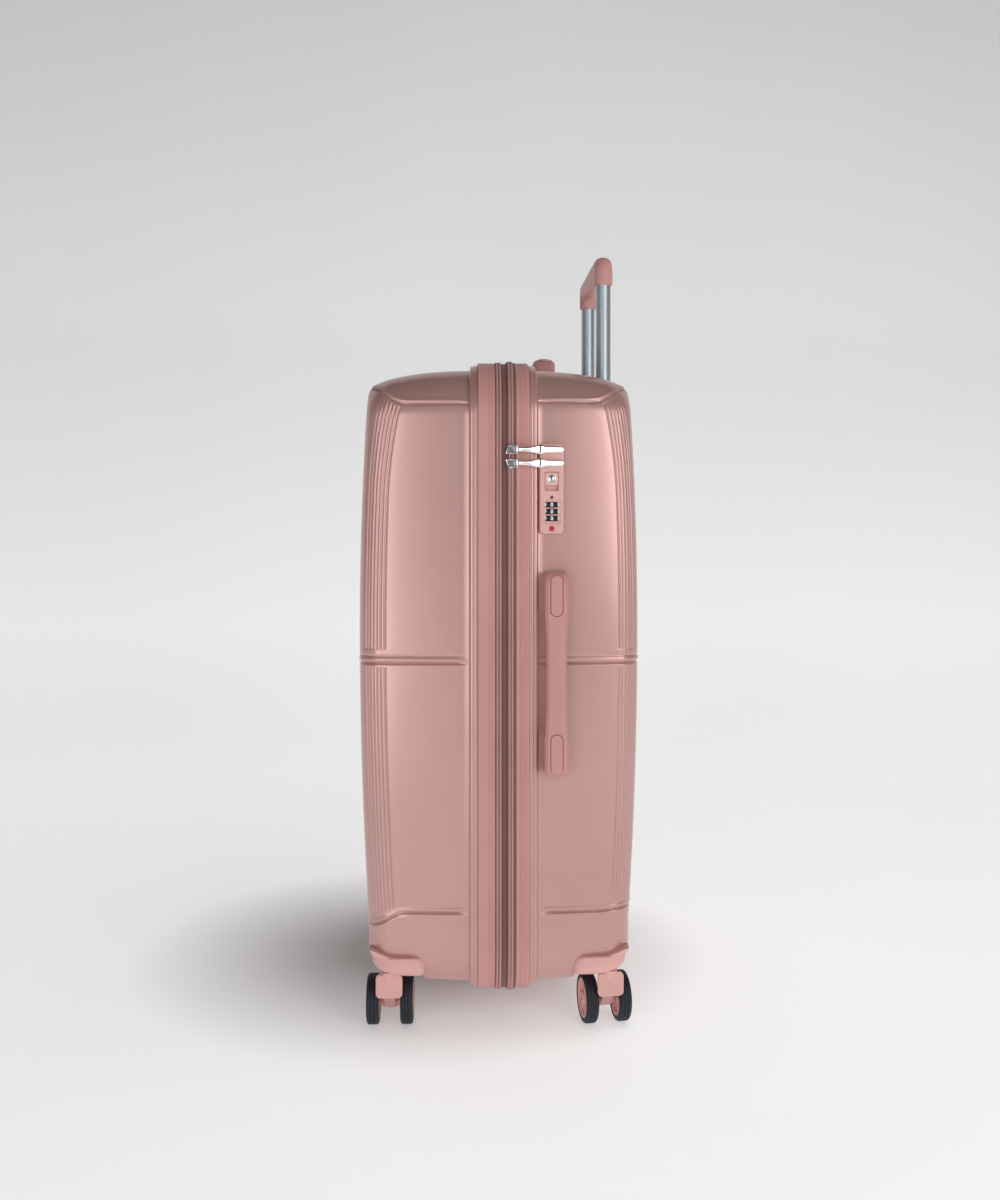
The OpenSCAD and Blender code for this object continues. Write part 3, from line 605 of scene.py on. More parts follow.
def shell(name, side, lip_y, body, node_name):
    """One glossy half: rim, wall, ribbed edge and face, with its inner skin."""
    cols, n_side, n_top = outline_columns(
        9.5, 42, dense=((409, 437, 0.85), (120, 152, 0.95), (106, 119, 3.0)), top_step=4.5)
    n = len(cols)
    zc, nx, nz = cols[:, 1], cols[:, 2], cols[:, 3]
    w = nz ** 2
    face_in = EDGE_R * (1 - w) + SAG_DEPTH * w

    def ring(inset, y, lifted=True):
        """Points at an inset and a distance from the middle plane, each one number or one a
        column; the skin's middle heights stand out further toward the faces."""
        z = zc - nz * inset
        share = smooth((y - 45) / 70) if lifted else 0.0
        return np.stack([CASE_X + cols[:, 0] - nx * inset,
                         side * (y + share * bulge(z)), z], 1)

    y0 = lip_y + 10.5
    (side_run, side_in, side_y), (top_run, top_in, top_y) = skin_profiles(y0)
    wall_run = side_run[-1] - TURN_LEN

    def skin_point(f):
        """Inset and y at a share of the way along the surface, one value a column."""
        inset = (np.interp(f * side_run[-1], side_run, side_in) * (1 - w)
                 + np.interp(f * top_run[-1], top_run, top_in) * w)
        y = (np.interp(f * side_run[-1], side_run, side_y) * (1 - w)
             + np.interp(f * top_run[-1], top_run, top_y) * w)
        return inset, y

    rim = [(WALL, 0), (-LIP_OUT + 0.6, 0.02), (-LIP_OUT + 0.15, 0.15), (-LIP_OUT, 0.6),
           (-LIP_OUT - 0.1, 2.2), (-LIP_OUT, 3.8), (-LIP_OUT + 0.15, 4.2), (-LIP_OUT + 0.6, 4.45),
           (-LIP_OUT + 1.0, 4.7), (-LIP_OUT + 1.05, 6.2), (-LIP_OUT + 1.2, 8.0),
           (-LIP_OUT + 1.6, 8.5), (-LIP_OUT + 2.4, 8.7), (-1.2, 8.9), (-0.4, 9.4)]
    rows = [ring(i, lip_y + y, False) for i, y in rim]
    rim_rows = len(rim)
    # Rings follow the ribs, with several at each rib and even spacing before and after them
    begin = rib_start(zc, side)
    first, last = -3.4, (RIBS - 1) * RIB_PITCH + 4.6
    offsets = [first, -2.9, -2.5]
    for k in range(RIBS):
        offsets += [k * RIB_PITCH + d for d in (-0.8, -0.4, 0, 0.4, 0.8, RIB_PITCH / 2)]
    offsets += [last - 1.4, last - 0.6, last]
    arcs = [-wall_run + (begin + first + wall_run) * t for t in np.linspace(0, 1, 12)[:-1]]
    arcs += [begin + s for s in offsets]
    arcs += [begin + last + (TURN_LEN - begin - last) * t for t in np.linspace(0, 1, 9)[1:]]
    depths = []
    for a in arcs:
        inset, y = skin_point((a + wall_run) / side_run[-1])
        rows.append(ring(inset, y))
        depths.append(y)
    p = np.stack(rows)
    normal = grid_normals(p) * -side
    step = relief(p[rim_rows:, :, 0], p[rim_rows:, :, 2], np.stack(depths), np.stack(arcs),
                  side)
    step[:2] *= [[0.0], [0.6]]      # fades in from the rim
    p[rim_rows:] += normal[rim_rows:] * step[..., None]

    # Face, which stands out a little more in the middle
    face = face_patch(ring(face_in + 0.7, np.full(n, FACE_Y)), n_side, n_top)
    fx, fz = face[..., 0], face[..., 2]
    crown = 3.5 * (1 - ((fx - CASE_X) / 221) ** 2) * (1 - ((fz - MID_Z) / 326) ** 2)
    face[..., 1] = side * (FACE_Y + bulge(fz) + crown)
    face[..., 1] += side * relief(fx, fz, np.full_like(fx, FACE_Y),
                                    np.full_like(fx, TURN_LEN + 8), side)

    verts = p.reshape(-1, 3).tolist()
    faces = grid_faces(len(rows), n, close_cols=True)
    join_patch(verts, faces, face, (len(rows) - 1) * n)

    # Inner skin
    rings = [range(n)]
    for t in np.linspace(0.06, 1, 14):
        inset, y = skin_point(t)
        rings.append(range(len(verts), len(verts) + n))
        verts += ring(inset + WALL, np.minimum(y, FACE_Y - WALL)).tolist()
    for lower, upper in zip(rings, rings[1:]):
        for k in range(n):
            faces.append((lower[k], upper[k], upper[(k + 1) % n], lower[(k + 1) % n]))
    verts.append([CASE_X, side * (FACE_Y - WALL + BULGE + 1.5), MID_Z])
    for k in range(n):
        faces.append((rings[-1][k], len(verts) - 1, rings[-1][(k + 1) % n]))
    return add_piece(name, (verts, faces), "shell", body, (node_name,), 50)


def cut_away(obj, parts, smooth_angle=38):
    """Takes the space of each closed part out of obj, for good."""
    for part in parts:
        mesh = mesh_of("cutter", part)
        cutter = linked_object("cutter", mesh)
        tidy_normals(cutter, 30)
        mod = obj.modifiers.new("cut", "BOOLEAN")
        mod.object = cutter
        mod.operation = "DIFFERENCE"
        mod.solver = "EXACT"
        depsgraph = bpy.context.evaluated_depsgraph_get()
        old = obj.data
        fresh = bpy.data.meshes.new_from_object(obj.evaluated_get(depsgraph))
        obj.modifiers.remove(mod)
        obj.data = fresh
        fresh.name = obj.name
        bpy.data.meshes.remove(old)
        bpy.data.objects.remove(cutter)
        bpy.data.meshes.remove(mesh)
    tidy_normals(obj, smooth_angle)


def discs(xs, y, r):
    """Upright round cutters through the top wall."""
    return [loft([[(x + r * cos(t), y + r * sin(t), z)
                   for t in np.linspace(0, 2 * pi, 49)[:-1]] for z in (700, 770)])
            for x in xs]


def housing_cutters(side):
    """Blocks that open the shell's lower corners for the caster housings."""
    r, near, far, shelf = 8.5, HOUSE_IN_Y + 0.6, HOUSE_OUT_Y + 12, HOUSE_SHELF - 1.0
    outline = [(near, 30.0)]
    outline += [(near + r - r * cos(t), shelf - r + r * sin(t))
                for t in np.linspace(0, pi / 2, 8)]
    outline += [(HOUSE_SLOPE, shelf), (far, shelf + SLOPE * (far - HOUSE_SLOPE)), (far, 30.0)]
    return [loft([[(CASE_X + x * e, side * a, b) for a, b in outline]
                  for e in (HOUSE_IN_X + 0.6, HOUSE_OUT_X + 15)]) for x in (-1, 1)]


HOUSE_LO, HOUSE_HI = box_mm("rear_caster_housings")
HOUSE_OUT_X = HOUSE_HI[0] - CASE_X
HOUSE_OUT_Y = HOUSE_HI[1]
HOUSE_IN_X, HOUSE_IN_Y = 169.0, 83.0
HOUSE_Z, HOUSE_TOP = HOUSE_LO[2], HOUSE_HI[2]
HOUSE_SLOPE, SLOPE = WALL_END + 6.0, 11.0 / 29.0      # the cap's top is level, then climbs
HOUSE_SHELF = HOUSE_TOP - SLOPE * (HOUSE_OUT_Y - HOUSE_SLOPE)

TUBE_LO, TUBE_HI = box_mm("trolley_inner_tubes")
TUBE_R = 9.0
TUBE_XS = (TUBE_LO[0] + TUBE_R, TUBE_HI[0] - TUBE_R)
TUBE_Y = (TUBE_LO[1] + TUBE_HI[1]) / 2

back_skin = shell("back_shell_skin", 1, BACK_LIP, "back_half", "back_shell")
cut_away(back_skin, [merged(housing_cutters(1) + discs(TUBE_XS, TUBE_Y, 11.5))], 50)
front_skin = shell("front_shell_skin", -1, FRONT_LIP, "front_half", "front_shell")
cut_away(front_skin, [merged(housing_cutters(-1))], 50)
HALVES = (("back", 1, "back_half"), ("front", -1, "front_half"))


# ---------------------------------------------------------------- bands, tapes and zips

def carried(profile, cols):
    """Rows of points that an (out, y) profile passes through round the case."""
    return [[(CASE_X + c[0] + c[2] * out, y, c[1] + c[3] * out) for c in cols]
            for out, y in profile]


def swept(profile):
    """A closed (out, y) profile carried round the outline of the case."""
    rows = carried(profile, outline_columns(40.0, 9)[0])
    return flat_list(rows), grid_faces(len(rows), len(rows[0]), True, True)


def band_profile(y0, y1, inner, outer, ridge_from, ridge_to, ridges, tall=0.5, corner=0.9):
    """Flat band with rolled corners and fine raised lines on one part of it."""
    top = []
    for y in np.linspace(y0 + corner, y1 - corner, int((y1 - y0) / 0.2)):
        h = 0.0
        if ridge_from < y < ridge_to:
            h = tall * abs(sin(pi * ridges * (y - ridge_from)
                                    / (ridge_to - ridge_from))) ** 0.8 - tall * 0.8
        top.append((outer + h, y))
    rise = [(outer - corner * (1 - sin(t)), y0 + corner * (1 - cos(t)))
            for t in np.linspace(0, pi / 2, 5)[:-1]]
    fall = [(outer - corner * (1 - cos(t)), y1 - corner * (1 - sin(t)))
            for t in np.linspace(0, pi / 2, 5)[1:]]
    return [(inner, y0)] + rise + top + fall + [(inner, y1)]


def band_piece(name, node_name, body, material, profile):
    return add_piece(name, swept(profile), material, body, (node_name,), 60)


BAND_OUT, BAND_IN = 8.5, 3.5
band_piece("front_band_moulding", "front_band", "front_half", "band",
           band_profile(-24.0, -5.0, BAND_IN, BAND_OUT, -12.6, -6.2, 4))
band_piece("back_band_moulding", "back_band", "back_half", "band",
           band_profile(18.0, 33.0, BAND_IN, BAND_OUT, 21.6, 30.0, 6))
band_piece("middle_band_tape", "middle_band", "mid_frame", "dark_tape",
           band_profile(3.0, 8.0, BAND_IN, BAND_OUT - 0.6, 3.6, 7.4, 3, tall=0.25))


def coil(y, out, radius, pitch):
    """Zip teeth as a moulded spiral lying along the outline at one Y."""
    cols = outline_columns(400.0, 12)[0]
    path = np.array([(c[0] + c[2] * out, c[1] + c[3] * out, c[2], c[3]) for c in cols])
    seg = np.linalg.norm(np.roll(path[:, :2], -1, 0) - path[:, :2], axis=1)
    total = seg.sum()
    steps = 3 * int(total / pitch)      # a narrow point and two wide ones at each tooth
    where = np.concatenate([[0], np.cumsum(seg)])
    closed = np.vstack([path, path[:1]])
    s = np.arange(steps) * total / steps
    x, z, nx, nz = (np.interp(s, where, closed[:, k]) for k in range(4))
    k = np.arange(steps) % 3
    fat = np.where(k == 0, 0.72, 1.08)
    lean = np.where(k == 1, -0.25, np.where(k == 2, 0.25, 0.0))
    rows = []
    for i in range(7):
        t = 2 * pi * i / 7
        o = radius * sin(t) * fat * 0.75
        w = radius * cos(t) * fat + lean
        rows.append(np.stack([CASE_X + x + nx * o, y + w, z + nz * o], 1))
    verts = np.concatenate(rows).tolist()
    return verts, grid_faces(7, steps, close_cols=True, close_rows=True)


def zip_half(prefix, node_name, body, y0, y1, coil_y, tape_out, hems):
    """One side of a zip: its woven tape, with sewing lines, and its row of teeth."""
    band_piece(prefix + "_tape", node_name, body, "zip",
               band_profile(y0, y1, BAND_IN, tape_out, hems[0], hems[1], 2, tall=0.3, corner=0.4))
    add_piece(prefix + "_teeth", coil(coil_y, tape_out + 0.35, 1.45, 2.3), "coil", body,
              smooth_angle=80)


zip_half("front_zip_side", "front_zip_tape", "mid_frame", 8.0, 12.2, 10.75, 9.2, (8.2, 9.6))
zip_half("back_zip_side", "back_zip_tape", "back_half", 12.4, 18.0, 13.9, 9.2, (15.4, 17.6))
zip_half("expansion_back", "expansion_zip_back", "mid_frame", -0.9, 3.0, 0.7, 8.2, (2.0, 2.9))
zip_half("expansion_front", "expansion_zip_front", "front_half", -5.0, -1.1, -2.6, 8.2,
         (-4.9, -3.9))

# Pleated cloth wall where the case expands, made in one shape that does not unfold
PLEATS, GUSSET_Y0, GUSSET_Y1 = 14, -15.6, 5.6
GUSSET_IN, GUSSET_OUT = 1.35, 3.05
folds = [(GUSSET_IN + (GUSSET_OUT - GUSSET_IN) * (0.5 - 0.5 * cos(pi * k / 2)), y)
         for k, y in enumerate(np.linspace(GUSSET_Y0, GUSSET_Y1, PLEATS * 4 + 1))]
rows = carried(folds, outline_columns(30.0, 8)[0])
gusset = add_piece("expansion_gusset_cloth",
                   (flat_list(rows), grid_faces(len(rows), len(rows[0]), close_cols=True)),
                   "gusset", None, ("expansion_gusset",), 80)
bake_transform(gusset)

# Fabric hinge on the side away from the lock
hinge_lo, hinge_hi = box_mm("hinge_strip")
strip_rows = []
for z in np.concatenate([hinge_lo[2] + np.linspace(0, 8, 7)[:-1],
                         np.linspace(hinge_lo[2] + 8, hinge_hi[2] - 8, 60),
                         hinge_hi[2] - np.linspace(8, 0, 7)[1:]]):
    end = min(z - hinge_lo[2], hinge_hi[2] - z)
    half_w = 8.3 - 0.8 * rolled(8, end)
    row = []
    for k in range(13):
        v = -1 + 2 * k / 12
        y = (hinge_lo[1] + hinge_hi[1]) / 2 + v * half_w
        seam = 0.18 * exp(-((abs(v) - 0.82) / 0.06) ** 2)
        stitch = 0.12 * sin(z * 2.1) * exp(-((abs(v) - 0.82) / 0.09) ** 2)
        row.append((hinge_lo[0] + 0.1 + seam + stitch + 0.35 * v * v, y, z))
    strip_rows.append(row)
front_face = flat_list(strip_rows)
back_face = [(p[0] + 0.5, p[1], p[2]) for p in front_face]
nr, nc = len(strip_rows), 13
strip_faces = grid_faces(nr, nc) + [tuple(reversed(f)) for f in grid_faces(nr, nc, start=nr * nc)]
loop = (list(range(nc)) + [i * nc + nc - 1 for i in range(1, nr)]
        + [(nr - 1) * nc + j for j in range(nc - 2, -1, -1)]
        + [i * nc for i in range(nr - 2, 0, -1)])
for k in range(len(loop)):
    a, b = loop[k], loop[(k + 1) % len(loop)]
    strip_faces.append((b, a, a + nr * nc, b + nr * nc))
strip = add_piece("hinge_strip_cloth", (front_face + back_face, strip_faces), "zip", None,
                  ("hinge_strip",), 60)
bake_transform(strip)


# ---------------------------------------------------------------- casters

def cornered(a0, b0, a1, b1, radii):
    """Rectangle with its own radius at each corner: high-high, low-high, low-low, high-low."""
    pts = []
    for (ca, cb), r, start in zip(((a1, b1), (a0, b1), (a0, b0), (a1, b0)), radii,
                                  (0, 90, 180, 270)):
        r = max(r, 0.2)
        ca += -r if start in (0, 270) else r
        cb += -r if start in (0, 90) else r
        for i in range(10):
            t = radians(start + 90 * i / 9)
            pts.append((ca + r * cos(t), cb + r * sin(t)))
    return pts


SIDE_ROUND, FACE_ROUND, CAP_R = 16.0, 14.0, 28.0      # roll-in at the base, plan radius


def taper(z):
    """How far a cap's outer face has drawn in below its top."""
    return 3.4 + 5.4 * ((HOUSE_TOP - z) / (HOUSE_TOP - HOUSE_Z)) ** 1.3


def housing_sections():
    """Level outlines of a corner cap, from its base to its sloping top: height, inner edge,
    and how far the outer side and face have rolled in."""
    out = []
    for h in (0.0, 0.15, 0.5, 1.1, 2.0, 3.2, 4.8, 6.6, 8.6, 10.8, 13.2, 15.0):
        dx, dy = rolled(SIDE_ROUND, h), rolled(FACE_ROUND, h) + taper(HOUSE_Z + h)
        if dx > 10:
            dx = 10 + 0.4 * (dx - 10)
        out.append((HOUSE_Z + h, HOUSE_IN_Y, dx, dy))
    rolls = [(z, 0) for z in np.linspace(HOUSE_SHELF - 8, HOUSE_SHELF - 1.4, 9)]
    rolls += [(HOUSE_SHELF - 1.4 + 1.4 * sin(t), 1.2 * (1 - cos(t)))
              for t in np.radians([22, 45, 66, 84])]
    for z, dx in rolls:
        out.append((z, HOUSE_IN_Y + rolled(8, max(HOUSE_SHELF - z, 0.02)), dx, taper(z)))
    for f in np.linspace(0.02, 0.97, 10):
        z = HOUSE_SHELF + f * (HOUSE_TOP - HOUSE_SHELF)
        out.append((z, HOUSE_SLOPE + f * (HOUSE_OUT_Y - HOUSE_SLOPE) - 4.5, 1.2 + 1.0 * f,
                    taper(z) + 0.6 * f * f))
    return out


def skirt(x, side):
    """Wall that joins a cap's base to the edge of the shell round the wheels' hollow."""
    path = [(a, HOUSE_IN_Y + 0.2) for a in np.linspace(HOUSE_OUT_X - 14, HOUSE_IN_X + 3, 16)]
    path += [(HOUSE_IN_X + 0.9, HOUSE_IN_Y + 0.9), (HOUSE_IN_X + 0.2, HOUSE_IN_Y + 3)]
    path += [(HOUSE_IN_X + 0.2, b) for b in np.linspace(HOUSE_IN_Y + 6, HOUSE_OUT_Y - 5, 16)]
    sections = []
    for a, b in path:
        over = max(0.0, min(a - (HALF_W - CORNER_R), CORNER_R - 1))
        low = Z0 + float(sag(b)) + rolled(CORNER_R, CORNER_R - over) + 0.8
        low = min(low, HOUSE_Z - 0.5)
        along_x = b < HOUSE_IN_Y + 0.5
        if along_x:
            da, db = 0.0, 1.7
        else:
            da, db = (1.6, 1.6) if b < HOUSE_IN_Y + 5 else (1.7, 0.0)
        ring = [(a, b, low), (a, b, HOUSE_Z + 1), (a + da, b + db, HOUSE_Z + 1),
                (a + da, b + db, low)]
        sections.append([(CASE_X + x * p, side * q, z) for p, q, z in ring])
    return loft(sections)


def housing(x, side):
    """Corner cap that carries a caster."""
    sections = []
    for z, y_in, dx, dy in housing_sections():
        a1, b1 = HOUSE_OUT_X - dx, HOUSE_OUT_Y - dy
        ring = cornered(HOUSE_IN_X, y_in, a1, b1,
                        (min(CAP_R, (b1 - y_in) * 0.8), 2, 2, min(14, (b1 - y_in) * 0.2)))
        sections.append([(CASE_X + x * a, side * b, z) for a, b in ring])
    screw = [(0.2, 0.0), (3.2, 0.0), (3.6, -0.3), (4.2, -0.35), (4.2, 1.0), (0.2, 1.0)]
    # Screw heads on the base, clear of the swivel plate
    return [loft(sections), skirt(x, side)] + [
        turned(screw, (CASE_X + x * 182.0, side * y, HOUSE_Z), ALONG_Z, 24)
        for y in (96.0, 138.0)]


for row, (_, side, body) in zip(("rear", "front"), HALVES):
    add_piece(row + "_corner_caps", merged(housing(1, side) + housing(-1, side)), "housing", body,
              (row + "_caster_housings",))

TRAIL, AXLE_Z, CASTER_X, CASTER_Y = 14.0, 28.0, 210.0, 124.0
TURNS = {("front", "right"): 0, ("front", "left"): -6, ("rear", "right"): 9, ("rear", "left"): 4}


def arc_points(cx, cy, r, start, end, n):
    return [(cx + r * cos(radians(start + (end - start) * i / n)),
             cy + r * sin(radians(start + (end - start) * i / n))) for i in range(n + 1)]


def fork_parts():
    """A caster's fork about its swivel axis, with its plate toward +X and the axle behind."""
    low, high = 39.0, 66.0
    web = (arc_points(12, low + 3, 2, 270, 360, 4) + arc_points(11, high - 3, 3, 0, 90, 4)
           + arc_points(-8, high - 3, 3, 90, 170, 4)
           + arc_points(-TRAIL, AXLE_Z, 9.5, 120, 300, 20))
    parts = [slab(web, -6.8, 6.8, 1.2, 4, FACING_Y)]
    plate = np.array(rounded_outline(-15, low, 15, high, 5.2, 8))
    centre, half = np.array([0.0, (low + high) / 2]), np.array([15.0, (high - low) / 2])
    ring = []
    for x, inset in ((13.4, 0.4), (13.9, 0.0), (16.1, 0.0), (16.6, 0.15), (17.0, 0.5), (17.3, 1.1),
                     (17.42, 2.0), (17.3, 3.4), (17.25, 3.6), (17.25, 4.6)):
        ring.append([(x, a, b) for a, b in centre + (plate - centre) * (1 - inset / half)])
    parts.append(loft(ring))
    # Finger that runs up the plate and swells into the neck
    finger = [(0.1, high - 10.6), (3.6, high - 10.2), (5.6, high - 9.2), (6.7, high - 7.4),
              (7.8, high - 1), (8.3, high + 2.2), (0.1, high + 2.3)]
    parts.append(turned(finger, (12.0, 0, 0), ALONG_Z, 40))
    neck = [(0.1, 50), (9.2, 50), (9.9, 50.8), (9.9, HOUSE_Z - 1.5), (9.3, HOUSE_Z - 0.65),
            (6.0, HOUSE_Z - 0.62), (6.0, HOUSE_Z + 15.5), (5.2, HOUSE_Z + 16.8),
            (0.1, HOUSE_Z + 17)]
    parts.append(turned(neck, (0, 0, 0), ALONG_Z, 48))
    boss = [(1.5, -9.6), (8.0, -9.6), (8.5, -9.0), (8.5, 9.0), (8.0, 9.6), (1.5, 9.6)]
    boss = [(r * 0.94, h * 1.18) for r, h in boss]
    parts.append(turned(boss, (-TRAIL, 0, AXLE_Z), ALONG_Y, 48))
    return merged(parts)


def wheel_parts(s):
    """Turned profiles (radius, width) of a hub and a tyre on side s."""
    w = 7.2
    hub = [(3.1, -w), (6.2, -w), (6.9, -w + 0.5), (7.2, -w + 1.4), (8.4, -3.6), (9.6, -3.1),
           (17.2, -3.1), (18.2, -3.6), (18.8, -w + 1.4), (19.4, -w + 0.8), (21.9, -w + 0.6),
           (22.0, -w + 0.9)]
    hub += [(r, -h) for r, h in reversed(hub)]
    r = 28.0
    tyre = [(22.0, -w + 0.25), (22.6, -w), (24.2, -w)]
    tyre += [(24.5 + 3.5 * sin(t), -w + 3.5 - 3.5 * cos(t))
             for t in np.radians([8, 25, 42, 60, 78])]
    tyre += [(r, -3.0), (r, -2.6), (r - 0.55, -2.3), (r - 0.55, -1.7), (r, -1.4), (r, -0.01)]
    tyre += [(a, -h) for a, h in reversed(tyre)]
    centre = (-TRAIL, s * 19.25, AXLE_Z)
    parts = [turned(hub, centre, ALONG_Y, 72)]
    for k in range(6):
        t = radians(60 * k)
        spoke = rounded_outline(7.6, -1.5, 18.6, 1.5, 0.8, 3)
        points, faces = slab(spoke, -5.4, 5.4, 0.5, 2, FACING_Y)
        parts.append(([(centre[0] + x * cos(t) - z * sin(t), centre[1] + y,
                        centre[2] + x * sin(t) + z * cos(t)) for x, y, z in points], faces))
    return merged(parts), turned(tyre, centre, ALONG_Y, 96)


def at_corner(part, x, side, turn):
    """Moves a caster's part from its own frame to its corner."""
    verts, faces = part
    c, s = cos(radians(turn)), sin(radians(turn))
    return [(CASE_X + x * CASTER_X + p[0] * c - p[1] * s, side * CASTER_Y + p[0] * s + p[1] * c,
             p[2]) for p in verts], faces


AXLE = [(0.1, -24.3), (2.4, -24.3), (2.95, -23.8), (2.95, 23.8), (2.4, 24.3), (0.1, 24.3)]
for (row, lr), turn in TURNS.items():
    corner = row + "_" + lr
    hubs, tyres = zip(wheel_parts(-1), wheel_parts(1))
    for name, part, look, body, node_name, angle in (
            ("swivel_fork_", fork_parts(), "housing", "fork_", "caster_fork_", 38),
            ("axle_pin_", turned(AXLE, (-TRAIL, 0, AXLE_Z), ALONG_Y, 32), "axle", "wheels_",
             "caster_axle_", 38),
            ("hubs_", merged(hubs), "housing", "wheels_", "wheel_hubs_", 38),
            ("tyres_", merged(tyres), "tyre", "wheels_", "wheel_tyres_", 50)):
        part = at_corner(part, 1 if lr == "right" else -1, 1 if row == "rear" else -1, turn)
        add_piece(name + corner, part, look, body + corner, (node_name + corner,), angle)

# Feet on the hinge side
for half, side, body in HALVES:
    base_x = CASE_X - HALF_W
    tip = box_mm(half + "_side_feet")[0][0]
    h = base_x - tip
    foot = [(0.3, -0.5), (12.5, -0.5), (12.3, 0.6), (11.4, 1.0), (10.2, 1.8), (9.9, 3.0),
            (9.7, h - 4.5), (9.9, h - 4.2), (9.9, h - 3.4), (9.4, h - 1.6), (8.2, h - 0.4),
            (6.4, h), (3.4, h - 0.1), (3.1, h - 0.6), (3.0, h - 2.2), (0.3, h - 2.2)]
    parts = [turned(foot, (base_x, side * 98.0, MID_Z + dz), (-1, 0, 0), 48) for dz in (-235, 235)]
    add_piece(half + "_hinge_side_feet", merged(parts), "foot", body,
              (half + "_side_feet",), 45)


# ---------------------------------------------------------------- carry handles

def handle_mesh(height):
    """Carry handle along its own x with its base at z = 0; waisted, with bevelled top edges."""
    half_l, end, bar = 113.0, 44.0, 10.0
    stations = np.unique(np.round(np.concatenate([
        np.linspace(-half_l, -half_l + 6, 9), np.linspace(-half_l + 6, -half_l + end, 34),
        -half_l + end + 8 - 8 * np.cos(np.linspace(0, pi / 2, 9)),
        np.linspace(-half_l + end + 8, 0, 14)]), 4))
    stations = np.concatenate([stations, -stations[::-1][1:]])
    sections = []
    for x in stations:
        ax = abs(x)
        tip = half_l - ax
        up = max(height - rolled(15, tip), 2.2) - 0.5 * (1 - (ax / half_l) ** 2)
        inner = half_l - end
        under = height - bar - rolled(8, inner - ax) if ax < inner else 0.45
        w = 11.2 + 1.8 * smooth((ax - 30) / 50)
        w *= 0.86 + 0.14 * smooth(tip / 5)
        bevel = min(3.4, (up - under) * 0.4)
        low = min(1.6, (up - under) * 0.2)
        side = [(w - low, under), (w - low * 0.3, under + low * 0.3), (w, under + low),
                (w, up - bevel - 0.5), (w - 0.25, up - bevel), (w - bevel * 0.95, up - 0.45),
                (w - bevel * 1.15, up - 0.12), (w - bevel * 1.5, up)]
        top = np.linspace(w - bevel * 1.5, -(w - bevel * 1.5), 13)[1:-1]
        crown = [(t, up + 0.35 * (1 - (t / (w - bevel * 1.5)) ** 2)) for t in top]
        ring = side + crown + [(-a, b) for a, b in reversed(side)]
        bottom = [(t, under) for t in np.linspace(-(w - low), w - low, 5)[1:-1]]
        sections.append([(x, a, b) for a, b in ring + bottom])
    # Tongue covers over the fixings at both ends, each in its own groove
    tongues, grooves = [], []
    for s in (-1, 1):
        for grow, low, high, into in ((0.0, -3.2, 0.05, tongues), (0.9, -2.4, 4.0, grooves)):
            outline = [(a + (0 if a < half_l - 20 else 12 * (grow > 0)), b)
                       for a, b in rounded_outline(half_l - 48 - grow, -6.3 - grow, half_l - 4,
                                                   6.3 + grow, 6.2 + grow, 10)]
            outline = [(s * a, s * b) for a, b in outline]
            into.append(slab(outline, height + low, height + high, 0.35, 3, FLAT))
    return loft(sections), merged(tongues), merged(grooves)


def turn_up(part, origin, vertical):
    """Places a handle made along x: vertical ones stand on the side wall, facing +X."""
    x, y, z = origin
    return [(x + p[2], y + p[1], z - p[0]) if vertical else (x + p[0], y + p[1], z + p[2])
            for p in part[0]], part[1]


SIDE_HANDLE = (SIDE_X, 62.0, 408.5)
TOP_HANDLE = (CASE_X, 58.0, Z1)
for which, spot, vertical, height in (("side", SIDE_HANDLE, True, 25.3),
                                      ("top", TOP_HANDLE, False, 23.3)):
    bar, tongues, grooves = (turn_up(m, spot, vertical) for m in handle_mesh(height))
    handle = add_piece(which + "_carry_handle", bar, "grip", which + "_handle",
                       (which + "_handle_grip",), 32)
    cut_away(handle, [grooves], 32)
    add_piece(which + "_handle_tongues", tongues, "grip", which + "_handle",
              smooth_angle=32)
    blocks = []
    for s in (-1, 1):
        plate = rounded_outline(s * 91 - 14, -6.5, s * 91 + 14, 6.5, 2.5, 4)
        blocks.append(slab(plate, -0.2, 10.8, 0.8, 2, FLAT))
        foot = rounded_outline(s * 91 - 20, -11.2, s * 91 + 20.5, 11.2, 4.5, 6)
        blocks.append(slab(foot, -0.6, 0.35, 0.25, 2, FLAT))
    add_piece(which + "_handle_blocks", turn_up(merged(blocks), spot, vertical), "band",
              "back_half", (which + "_handle_brackets",))


# ---------------------------------------------------------------- trolley

def squircle(n, power_a, power_b):
    """n points of a circle whose sine and cosine are raised to powers, so that it fills out."""
    for k in range(n):
        c, s = cos(2 * pi * k / n), sin(2 * pi * k / n)
        yield copysign(abs(c) ** power_a, c), copysign(abs(s) ** power_b, s)


def arch(outer, inner, half_w):
    """Bar with a rounded section between matching outer and inner lines in X and Z."""
    return loft([[((ox + ix) / 2 + (ox - ix) / 2 * u, w * half_w, (oz + iz) / 2 + (oz - iz) / 2 * u)
                  for u, w in squircle(28, 0.84, 0.84)]
                 for (ox, oz), (ix, iz) in zip(outer, inner)])


grip_lo, grip_hi = box_mm("trolley_grip")
grip_cx, grip_cy = (grip_lo[0] + grip_hi[0]) / 2, (grip_lo[1] + grip_hi[1]) / 2
GW, GT, GB = (grip_hi[0] - grip_lo[0]) / 2, grip_hi[2], grip_lo[2]
leg = 22.6
outer_line = [(GW - 3.2, GB), (GW - 1.0, GB + 0.7), (GW - 0.2, GB + 2.4), (GW, GB + 5)]
inner_line = [(GW - leg + 3.2, GB), (GW - leg + 1.0, GB + 0.7), (GW - leg + 0.2, GB + 2.4),
              (GW - leg, GB + 5)]
for t in np.linspace(0, 90, 19):
    outer_line.append((GW - 15 + 15 * cos(radians(t)),
                       GT - 15 + 15 * sin(radians(t))))
    inner_line.append((GW - leg - 6 + 6 * cos(radians(t)),
                       GT - 22 - 6 + 6 * sin(radians(t))))
